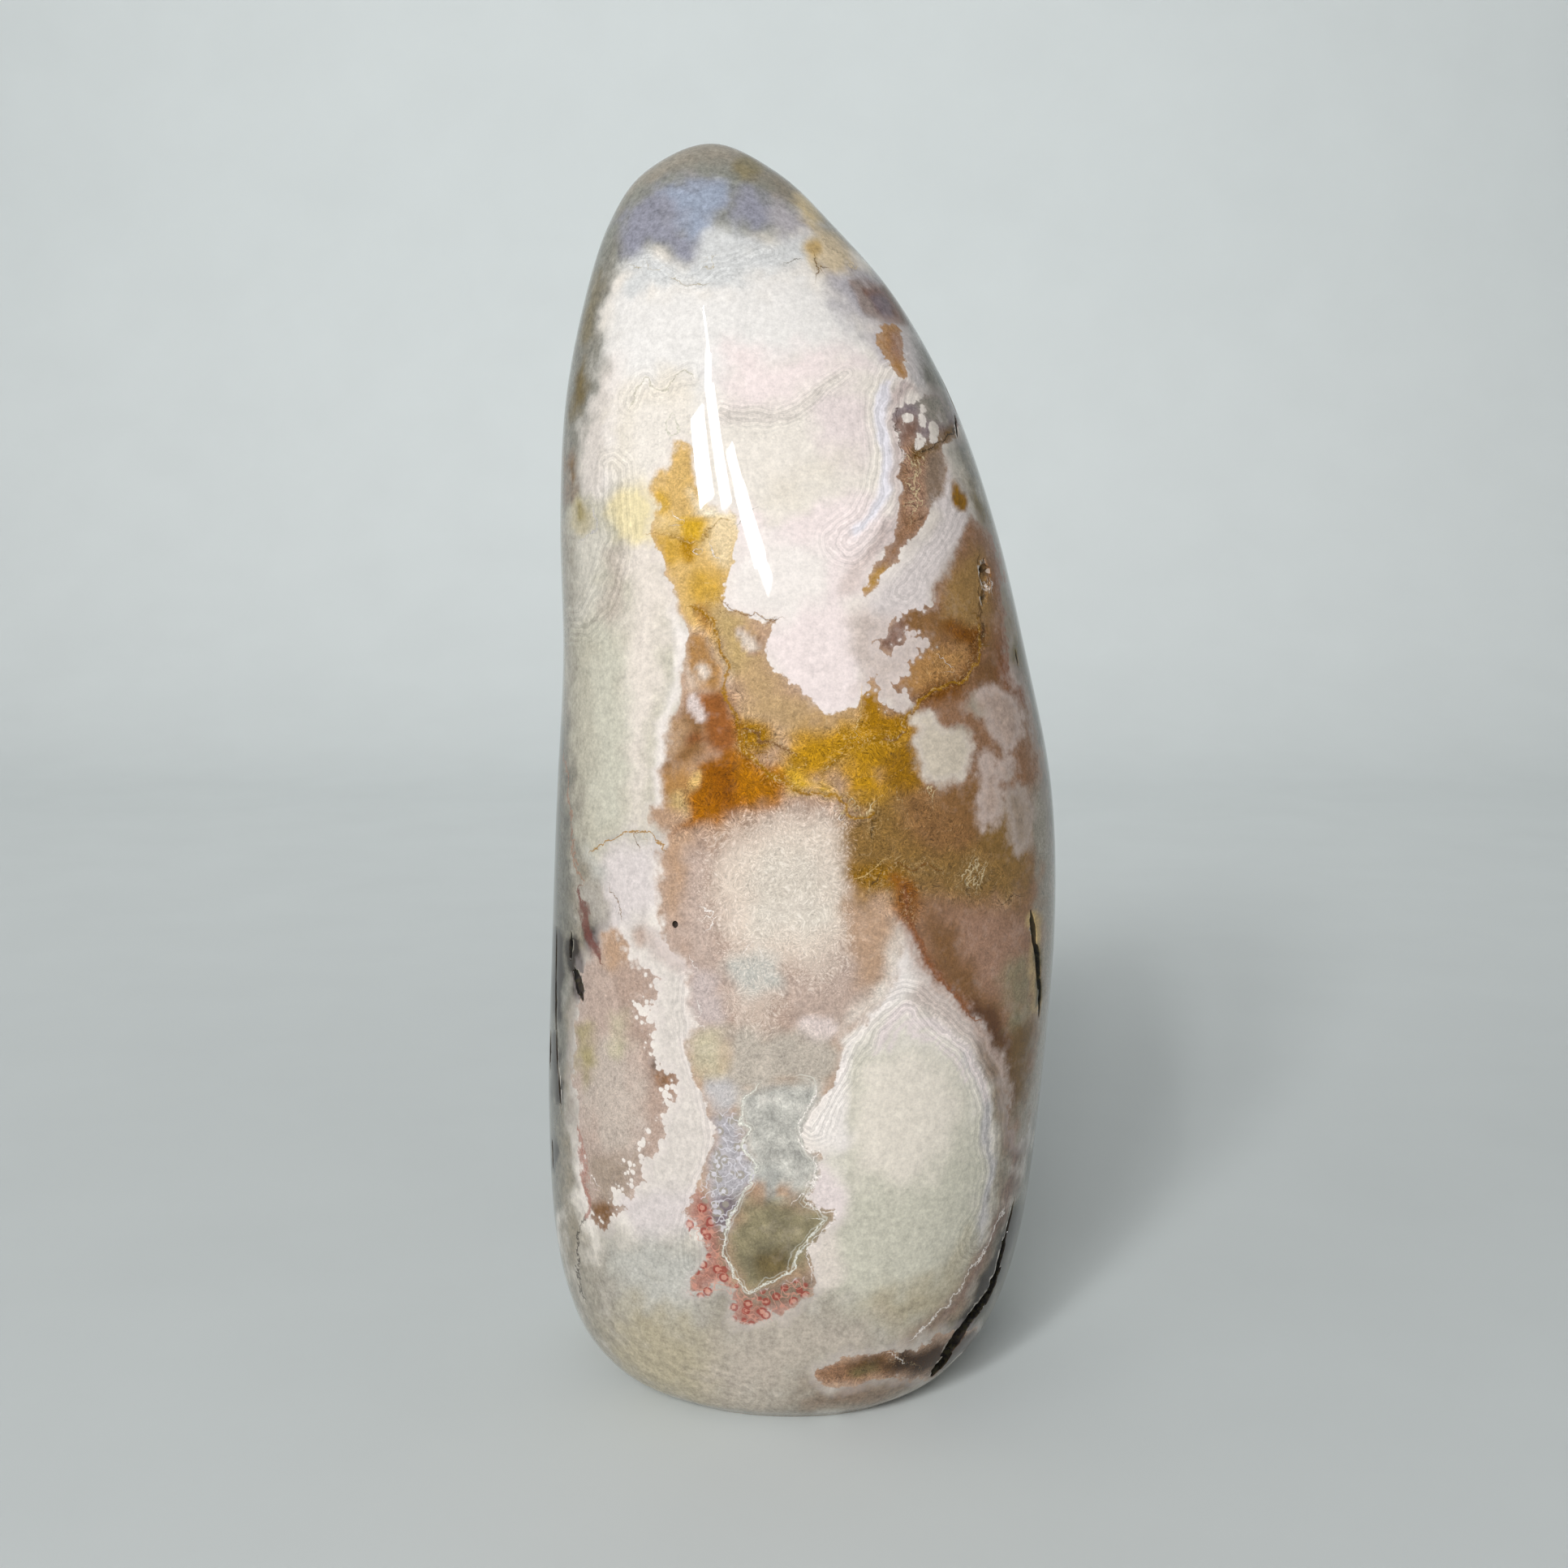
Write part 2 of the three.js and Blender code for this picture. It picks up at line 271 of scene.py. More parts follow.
# Chalky growths that lie over the clear quartz.
GROWTHS = (
    # the great plume in the middle
    "893,742 905,750 915,756 930,757 945,766 958,763 950,780 940,805 950,828 960,832 975,842 985,845"
    " 992,855 1000,868 1010,877 1040,877 1060,868 1065,858 1072,855 1080,860 1090,872 1103,880 1115,880"
    " 1123,872 1122,862 1112,850 1105,843 1110,835 1120,830 1122,818 1130,805 1143,803 1150,798 1142,788"
    " 1130,780 1115,778 1103,767 1120,752 1145,748 1150,730 1165,710 1178,680 1190,650 1196,630 1188,590"
    " 1166,560 1166,600 1150,640 1130,670 1105,700 1085,720 1070,745 1050,740 1040,700 960,690",
    "893,741 900,700 960,640 1050,640 1056,690 1060,760 960,770 930,760",
    # lumps on its right
    "1120,885 1130,878 1150,875 1158,884 1166,896 1182,896 1195,902 1199,922 1197,945 1185,960 1154,968"
    " 1140,958 1132,945 1125,930 1125,915 1134,901 1122,895",
    "1190,872 1205,850 1225,845 1250,860 1262,885 1258,910 1245,925 1232,920 1222,900 1210,884",
    "1209,932 1219,928 1228,943 1239,930 1248,940 1250,956 1243,967 1236,966 1240,985 1238,1004 1228,1015"
    " 1216,1014 1212,1024 1205,1009 1205,985 1208,960",
    "1243,975 1257,967 1269,985 1273,1010 1268,1040 1255,1052 1246,1040 1240,1010",
    # grains beside the ridge low on the left
    "784,1238 792,1232 799,1238 797,1248 788,1251",
    "794,1250 803,1250 805,1260 797,1263",
    "815,1346 822,1343 826,1350 821,1357 814,1354",
    "790,1388 796,1388 797,1408 791,1408",
    "769,1436 776,1434 778,1444 771,1446",
    "790,1420 806,1417 810,1430 792,1432",
    # white flecks in the mauve
    "1109,515 1116,510 1123,515 1122,523 1111,524",
    "1129,502 1136,498 1140,506 1136,514 1129,511",
    "1132,515 1139,513 1142,524 1138,532 1132,527",
    "1142,527 1150,520 1158,530 1157,541 1147,541",
    "1127,544 1133,540 1137,550 1132,557 1126,551",
    "1155,507 1160,507 1162,518 1157,519",
    "1129,529 1135,531 1143,544 1141,548 1132,541",
)
# Gaps in the growths where the clear quartz shows through.
WINDOWS = (
    "1083,790 1090,786 1098,776 1102,765 1108,780 1115,786 1112,797 1100,800 1093,806 1086,800",
    "1072,838 1077,836 1083,849 1077,852",
    "1100,838 1107,842 1113,854 1106,851",
)
# The glassy pocket, and where its walls are made of little rings.
POCKET = (
    "930,1340 918,1358 918,1380 912,1386 925,1395 918,1412 928,1430 935,1442 920,1450 924,1462 916,1477"
    " 907,1484 898,1503 894,1520 892,1540 900,1560 905,1575 915,1586 926,1594 936,1588 950,1578 963,1570"
    " 976,1568 978,1553 988,1545 998,1528 1008,1512 1020,1500 1000,1486 993,1470 1000,1452 1002,1430"
    " 986,1412 985,1395 992,1378 1002,1358 1006,1335 985,1325 955,1330",
)
LACED = ("990,1290 1050,1300 1060,1640 880,1640 870,1500 890,1370 940,1365 975,1400",)
RINGED = (
    "888,1366 904,1364 912,1378 920,1400 928,1425 932,1445 920,1470 905,1495 897,1520 894,1540 902,1572"
    " 925,1596 950,1584 985,1572 1004,1584 985,1602 966,1622 935,1629 918,1634 903,1624 890,1590 872,1600"
    " 850,1594 856,1565 868,1540 846,1512 850,1496 862,1470 876,1440 884,1400",
)
RED_RINGED = (
    "848,1490 862,1478 878,1500 888,1530 894,1550 902,1574 925,1598 950,1588 985,1576 1006,1584 985,1602"
    " 966,1622 935,1629 918,1634 903,1624 890,1590 872,1600 850,1594 856,1565 868,1540 846,1512",
)
# Fluffy ground of fine white crystals, and quartz stained gold by iron.
SUGARY = (
    "878,1045 900,1022 950,1008 1000,998 1032,1012 1040,1055 1040,1110 1043,1155 1036,1195 1010,1212"
    " 975,1200 935,1192 905,1180 885,1150 872,1110",
    "905,1222 925,1210 955,1216 962,1240 950,1262 925,1268 905,1255",
)
STAINED = (
    "833,541 850,550 870,622 910,645 915,704 893,740 960,764 940,800 975,843 1000,876 1060,872 1123,866"
    " 1150,800 1190,760 1215,780 1205,815 1190,840 1130,872 1125,915 1135,960 1200,1030 1250,1080"
    " 1240,1120 1150,1110 1125,1145 1060,1095 1045,1030 1000,985 960,1000 870,1030 820,1030 850,960"
    " 900,930 890,820 850,770 800,600",
    "990,298 1012,284 1034,292 1056,326 1046,336 1020,341 1000,336",
    "1108,550 1140,553 1142,600 1140,640 1110,665 1108,620",
    "1003,1688 1040,1674 1100,1665 1150,1650 1150,1690 1050,1706 1012,1700",
)

# Where the growths fade out like fluff, are made of tiny ringlets, or break up into grains.
FUZZY = (
    "1115,870 1290,835 1290,1070 1190,1060 1110,970",
    "1040,1110 1125,1130 1110,1200 1040,1300 1000,1300",
    "1110,1130 1260,1290 1240,1350 1120,1230",
    "822,745 842,745 836,860 832,1010 838,1140 798,1140 800,1000 812,880",
    "836,1140 880,1140 885,1300 846,1300",
    "725,1135 785,1135 790,1190 730,1205",
    "830,535 880,590 910,640 880,640 850,600 812,600 806,640 800,620 800,590",
    "1165,560 1200,600 1215,660 1190,700 1150,740 1120,700 1150,640",
)
# The vug on the right that is lined with olive crystals.
LINED = ("1196,672 1240,672 1240,802 1196,802",)
# Smooth, glassy quartz without needles.
GLASSY = (
    "780,520 880,520 930,640 925,740 965,765 960,830 1000,868 1060,872 1000,900 950,890 905,830 880,770"
    " 840,760 800,700",
)
LACY = (
    "885,492 1000,492 1040,462 1044,500 985,538 900,540",
    "765,470 850,450 862,545 800,595 760,560",
    "755,318 960,300 962,352 800,362",
    "1000,1386 1040,1290 1100,1210 1120,1160 1150,1210 1110,1260 1060,1330 1045,1400 1030,1500 1035,1590"
    " 1000,1590",
    "740,1540 860,1540 890,1620 840,1660 760,1620",
)
GRAINY = (
    "770,1140 822,1140 826,1200 828,1300 840,1340 835,1380 815,1440 770,1500 740,1510 740,1460 770,1420"
    " 800,1380 790,1300 775,1240 765,1190",
    "1060,745 1160,745 1150,830 1090,880 1060,860",
)

# Washes of colour in the chalky growths, from the bottom up: colour, how soft the edge is in mm, outline.
CHALKY_WASHES = (
    (SAGE_SHADE, 3, "600,600 840,600 850,900 850,1040 600,1060"),
    # olive over the right flank: partly the stone's own colour and partly painted shade on the side turned
    # from the key
    (OLIVE_DRAB, 4, "1180,520 1320,560 1340,1100 1150,1100 1120,900"),
    # grey low down: partly the stone's own colour and partly painted shade, darker towards the foot
    (GREY, 6, "600,1560 1320,1500 1320,1800 600,1800"),
    # the crown
    (COOL_WHITE, 3.5, "735,430 750,370 800,345 850,352 900,345 960,335 1010,350 1060,400 1080,450"
                      " 1040,440 980,450 900,470 860,520 830,540 800,500 770,480 742,460"),
    (CHALK, 2, "715,520 745,450 765,440 770,520 760,600 730,610 714,580"),
    (COOL_WHITE, 2.5, "780,400 860,360 960,350 1000,380 960,420 880,430 800,450"),
    (PEARL, 1.2, "740,450 752,460 750,520 745,600 722,610 714,570 722,510"),
    (PINK_WHITE, 2.5, "900,430 960,440 1010,430 1060,440 1080,460 1010,470 960,495 900,505"),
    (IVORY, 2, "770,480 850,470 850,600 760,600"),
    (CREAM, 1.5, "800,500 845,500 850,545 828,560 800,590 780,570 785,520"),
    (PINK_WHITE, 2.5, "920,620 1060,600 1100,640 1060,720 1040,860 990,860 940,800 960,760 900,740 910,680"),
    (CHALK, 2, "900,700 960,660 1020,690 1010,740 960,765 905,745"),
    (PINK_WHITE, 1.5, "1000,790 1050,780 1060,850 1030,872 1000,860"),
    (ROSE_WHITE, 1.5, "1050,750 1150,748 1150,800 1120,830 1120,882 1070,860 1060,820"),
    (PEARL_PINK, 1.2, "1160,570 1190,600 1196,640 1178,680 1150,730 1145,748 1105,762 1068,748 1085,720"
                      " 1105,700 1130,670 1150,640"),
    # the green-white shield and its arcs
    (CREAM, 1.2, "900,522 985,503 1012,478 1050,462 1086,470 1078,520 1082,600 1040,600 960,640 925,610"
                 " 905,560"),
    (ROSY_WHITE, 1.5, "1000,500 1030,480 1060,480 1070,540 1060,580 1020,580 1005,540"),
    (IVORY, 3, "950,600 1000,570 1040,560 1040,580 1000,605 955,625"),
    # darker pearl band under the shield's top edge: partly the stone's own grey and partly a painted shadow
    # line below that edge
    (PEARL, 0.5, "895,505 960,505 990,492 1012,470 1040,458 1036,464 1014,486 992,504 962,518 896,518"),
    (LAVENDER_WHITE, 0.35, "1094,465 1103,468 1096,480 1096,510 1096,540 1101,565 1101,590 1092,615"
                           " 1078,640 1054,662 1048,652 1068,636 1080,612 1086,590 1084,560 1079,540"
                           " 1078,510 1081,480"),
    (ROSE_GREY, 0.8, "1112,465 1130,480 1104,500 1106,530 1110,560 1108,640 1100,668 1075,698 1052,700"
                     " 1075,665 1094,640 1101,600 1099,560 1096,520 1098,485"),
    (ROSE_PEARL, 1.5, "1050,690 1080,690 1070,712 1055,735 1035,725"),
    # right of the diagonal band
    (IVORY_SHADE, 1.5, "1150,530 1180,540 1196,600 1200,640 1188,600 1165,560"),
    (OCHRE, 0.3, "1173,592 1181,596 1189,612 1190,627 1182,630 1173,614"),
    (OAT, 1, "1120,875 1160,872 1168,895 1200,898 1200,966 1120,966"),
    (POCKET_OLIVE, 1, "1165,860 1205,845 1225,845 1225,905 1200,900 1170,896"),
    (ROSE_BEIGE, 1, "1205,925 1252,925 1252,970 1240,1020 1200,1030"),
    (ROSE_BEIGE, 1.2, "1205,840 1280,830 1275,960 1230,930"),
    (TAUPE, 1.2, "1240,960 1280,960 1280,1060 1240,1060"),
    # the slab on the left, its rim and its shaded bowl
    (IVORY_SHADE, 2, "700,640 745,660 750,700 742,740 725,765 700,765"),
    (GREIGE, 1.2, "748,690 760,670 766,600 772,690 770,740 754,775 730,772 745,745"),
    (SAGE_SHADE, 2, "705,800 722,800 724,960 716,1000 705,960"),
    (CHALK, 0.8, "828,745 838,768 848,782 842,800 838,830 834,862 824,882 819,930 815,985 806,1000"
                 " 806,940 812,880 824,850 826,790 820,750"),
    (WARM_CREAM, 2.5, "780,640 822,700 826,740 812,860 800,1000 770,1010 760,900 770,760"),
    (SAGE, 2, "730,780 760,790 770,900 770,1000 740,1010 728,900"),
    (LEMON, 1.4, "759,604 772,596 790,590 808,596 811,620 811,640 807,661 790,662 770,661 757,660"),
    (LEMON, 1.4, "760,628 776,622 795,634 806,645 806,658 790,660 762,659"),
    (PEARL_PINK, 2, "740,1050 800,1035 815,1060 805,1120 800,1160 760,1140 735,1120"),
    (PEARL_PINK, 2, "720,1085 745,1090 760,1145 735,1145 722,1110"),
    (POCKET_GREY, 1.2, "722,1045 735,1062 745,1080 730,1092 718,1075"),
    # growths low on the left
    (PEARL, 1.5, "775,1150 800,1130 850,1190 852,1290 885,1390 860,1490 790,1500 770,1480 810,1400"
                 " 830,1340 805,1260"),
    (PEARL, 1.2, "808,1205 846,1200 850,1240 848,1310 875,1360 880,1400 850,1430 812,1440 826,1400"
                 " 836,1360 812,1310 806,1260"),
    (ROSE_WHITE, 1, "800,1130 850,1190 840,1205 810,1180 795,1160"),
    (ROSE_BEIGE, 0.8, "784,1143 798,1145 796,1166 786,1166"),
    (PEARL_PINK, 1.5, "765,1480 850,1465 852,1500 830,1525 780,1520"),
    (POCKET_GREY, 3, "760,1540 860,1540 850,1640 780,1640"),
    # the big lobe
    (SAGE, 3, "1040,1290 1150,1290 1205,1360 1215,1480 1180,1580 1110,1640 1030,1600 1010,1540 1040,1480"
              " 1020,1400"),
    (IVORY, 2.5, "1060,1310 1120,1290 1170,1320 1180,1400 1120,1460 1060,1440 1050,1370"),
    (CHALK, 1, "1000,1386 1020,1340 1040,1290 1080,1240 1100,1190 1118,1150 1130,1190 1150,1210 1100,1240"
               " 1060,1280 1044,1340 1045,1400 1035,1420 1000,1410"),
    (ROSY_WHITE, 1, "1000,1440 1035,1450 1040,1490 1028,1510 1005,1500 998,1470"),
    (WARM_CREAM, 1, "1000,1530 1028,1520 1035,1570 1010,1590 998,1560"),
    (GREY_TAUPE, 1, "1215,1290 1240,1320 1250,1360 1250,1460 1236,1480 1222,1500 1228,1400 1218,1340"),
    (ROSE_WHITE, 1.4, "1130,1190 1160,1212 1205,1255 1235,1300 1246,1335 1224,1336 1198,1295 1150,1255"
                      " 1120,1236"),
    (MAUVE, 1.4, "1205,1275 1225,1290 1246,1340 1256,1410 1246,1440 1236,1400 1226,1350 1212,1310"),
    (DULL_ROSE, 0.3, "1111,1140 1120,1158 1132,1178 1148,1196 1160,1215 1190,1240 1205,1260 1215,1280"
                     " 1232,1300 1240,1325 1234,1326 1226,1302 1210,1284 1199,1264 1184,1245 1155,1221"
                     " 1142,1200 1127,1182 1114,1162 1106,1146"),
    (GREY_LAVENDER, 0.35, "1187,1290 1197,1297 1209,1320 1217,1350 1222,1400 1226,1440 1220,1482"
                          " 1206,1532 1202,1526 1212,1480 1216,1440 1212,1402 1207,1355 1199,1325"
                          " 1184,1302"),
    (ROSY_WHITE, 0.3, "1074,1292 1094,1250 1110,1237 1122,1236 1132,1252 1152,1257 1172,1269 1190,1288"
                      " 1206,1314 1216,1350 1211,1356 1200,1322 1185,1298 1168,1279 1150,1267 1128,1263"
                      " 1118,1248 1104,1258 1082,1296"),
    (ROSY_WHITE, 0.2, "1090,1290 1104,1268 1120,1256 1130,1270 1150,1274 1166,1286 1180,1304 1194,1328"
                      " 1190,1332 1176,1308 1162,1291 1148,1280 1126,1276 1118,1264 1107,1274 1095,1292"),
    (PLUM_BROWN, 1.2, "1222,1500 1236,1480 1246,1400 1262,1390 1250,1480 1225,1540 1180,1620 1110,1655"
                      " 1150,1620 1200,1550"),
    (PALE_OLIVE, 3, "1060,1600 1140,1580 1190,1540 1170,1600 1110,1640"),
    (PALE_OLIVE, 4, "780,1600 860,1640 900,1700 860,1740 760,1690"),
    (GREIGE, 4, "900,1640 1000,1620 1100,1655 1000,1680 960,1730 880,1730"),
    (MAUVE, 3, "1010,1712 1120,1700 1100,1730 1000,1735"),
    # left silhouette: greys that are partly the stone's own colour and partly painted shade and painted
    # reflection along the edge
    (GREY, 1.6, "640,640 700,640 706,760 703,900 712,1000 712,1080 700,1100 640,1100"),
    (DARK_SMOKE, 1.4, "640,880 694,890 700,960 706,1040 712,1080 714,1180 708,1260 704,1380 700,1480"
                      " 640,1480"),
    (GREY_TAUPE, 1.5, "712,1080 728,1080 742,1110 742,1150 716,1220 708,1300 708,1480 724,1500 704,1560"
                      " 690,1480 700,1300"),
    (PALE_GREY, 1, "716,1088 730,1092 745,1120 742,1148 728,1140 720,1110"),
    (BLACK_BROWN, 1, "722,1140 742,1140 742,1178 730,1185"),
    # right silhouette: dark smoke and olive that are partly the stone's own colour and partly painted shade
    # on the side turned from the key, with a paler steel band that is partly painted reflection
    (DARK_SMOKE, 1.2, "1000,240 1060,290 1130,385 1160,460 1200,580 1180,560 1130,470 1110,400 1070,325"
                      " 1024,268"),
    (STEEL, 1.3, "1118,400 1140,430 1175,500 1200,580 1230,650 1250,740 1300,860 1260,640 1220,520 1150,380"),
    (DIM_OLIVE, 1.3, "1222,640 1250,740 1262,860 1278,960 1285,1100 1275,1260 1262,1400 1252,1480"
                     " 1225,1540 1300,1500 1340,1200 1340,900 1290,700"),
    # dark pits on the left edge
    (BLACK_BROWN, 0.3, "698,1156 708,1158 719,1180 725,1214 717,1231 703,1226 704,1202 697,1178"),
    (BLACK_BROWN, 0.25, "680,1150 691,1152 694,1200 692,1250 684,1264 679,1220"),
    (BLACK_BROWN, 0.25, "677,1276 683,1273 690,1300 689,1320 680,1314"),
    (BLACK_BROWN, 0.25, "682,1320 691,1322 691,1360 683,1358"),
    (BLACK_BROWN, 0.25, "679,1408 683,1402 687,1420 686,1444 680,1436"),
    # the smoky cap and the strip that runs down from it
    (GREY_GREEN, 1.8, "600,100 1100,60 1040,300 1000,262 980,276 960,292 930,305 905,305 890,292 872,288"
                      " 856,305 850,330 830,322 812,312 785,315 765,328 750,352 742,400 740,440 728,490"
                      " 714,525 708,560 712,600 716,618 700,622 640,620"),
    (MIST, 1.5, "774,326 794,308 822,318 850,328 870,305 900,308 950,296 990,285 1010,300 980,330 900,340"
                " 850,350 800,338 776,350"),
    (MIST, 1.2, "866,292 900,284 930,292 940,308 910,318 880,320 860,335 856,310"),
    (LILAC_SMOKE, 2, "790,250 820,230 860,220 890,226 900,245 892,262 875,275 862,300 852,318 840,280"
                     " 800,290 770,310"),
    (LILAC_SMOKE, 1.6, "765,270 800,246 822,262 850,300 852,326 838,322 812,300 790,300 770,305"),
    (BLUE_SMOKE, 1.6, "826,232 892,226 897,246 886,260 862,285 850,290 838,262"),
    (LILAC_SMOKE, 1.5, "905,240 930,232 948,248 950,272 930,296 912,280 900,262"),
    (DIM_LAVENDER, 1.5, "950,240 975,250 1000,280 975,285 950,280"),
    (GREY, 1.6, "780,240 800,222 840,204 900,204 950,214 1005,262 1040,300 960,150 900,120 800,140"
                " 740,260"),
    (MIST, 1.2, "858,338 862,302 880,284 905,292 915,318 905,345 870,350"),
    (MIST, 1.6, "776,348 790,326 812,322 832,338 800,354"),
    (GREY_TAUPE, 1.4, "925,200 962,212 1000,243 1014,272 990,264 950,234 922,216"),
    (POCKET_OLIVE, 1.0, "906,203 926,194 942,204 932,218 912,218"),
    (BLOND, 0.9, "982,240 1000,248 1012,270 1000,282 984,262"),
    (SMOKE, 1.2, "700,480 712,420 735,330 760,290 752,330 740,400 726,470 712,520 704,600 690,620 680,520"),
    (OLIVE_SMOKE, 0.8, "722,360 738,330 742,350 732,400 720,430"),
    (OLIVE_DRAB, 0.8, "706,490 714,455 720,440 723,460 714,500 706,520"),
    (MAUVE, 1, "694,590 704,560 712,600 706,622 696,616"),
    (OLIVE_BROWN, 0.5, "701,572 706,574 709,592 704,594"),
    (OLIVE_CREAM, 0.6, "704,628 714,612 726,626 730,648 720,658 706,648"),
    (KHAKI_CREAM, 0.35, "712,620 719,622 722,636 717,643 711,636"),
    # amber crackle, lilac spot
    (STRAW, 0.8, "990,300 1012,285 1034,293 1055,327 1040,337 1020,340 1002,335"),
    (TAWNY, 0.6, "994,302 1006,298 1012,306 1006,318 998,312"),
    (DIM_LAVENDER, 2, "1020,340 1060,335 1100,360 1120,400 1088,440 1070,410 1040,385"),
    (PLUM_BROWN, 0.6, "1050,346 1068,350 1088,352 1100,362 1112,382 1120,398 1108,402 1090,396 1072,386"
                      " 1058,372"),
    (DIM_LILAC, 0.9, "1070,360 1086,358 1100,370 1104,386 1092,390 1076,376"),
    (UMBER, 0.4, "1088,350 1100,358 1111,376 1120,398 1112,400 1103,384 1094,364"),
    (MAUVE_GREY, 0.4, "1048,344 1062,346 1066,360 1080,384 1094,398 1084,400 1066,388 1054,366"),
    (MOSS, 0.35, "1130,402 1137,404 1153,432 1165,455 1180,500 1177,530 1168,505 1155,462 1145,440 1136,420"),
    (GREY_LAVENDER, 1, "1100,402 1122,402 1136,440 1140,480 1124,470 1112,430"),
    (DIM_OLIVE, 0.8, "1252,1476 1264,1490 1256,1540 1240,1580 1218,1618 1196,1652 1160,1676 1150,1660"
                     " 1180,1625 1203,1590 1220,1555 1234,1520 1242,1494"),
    (BLACK_BROWN, 0.4, "1254,1488 1258,1508 1249,1532 1241,1556 1229,1584 1214,1610 1198,1634 1184,1652"
                       " 1166,1666 1160,1656 1180,1630 1196,1602 1210,1578 1222,1552 1231,1528 1240,1504"),
)
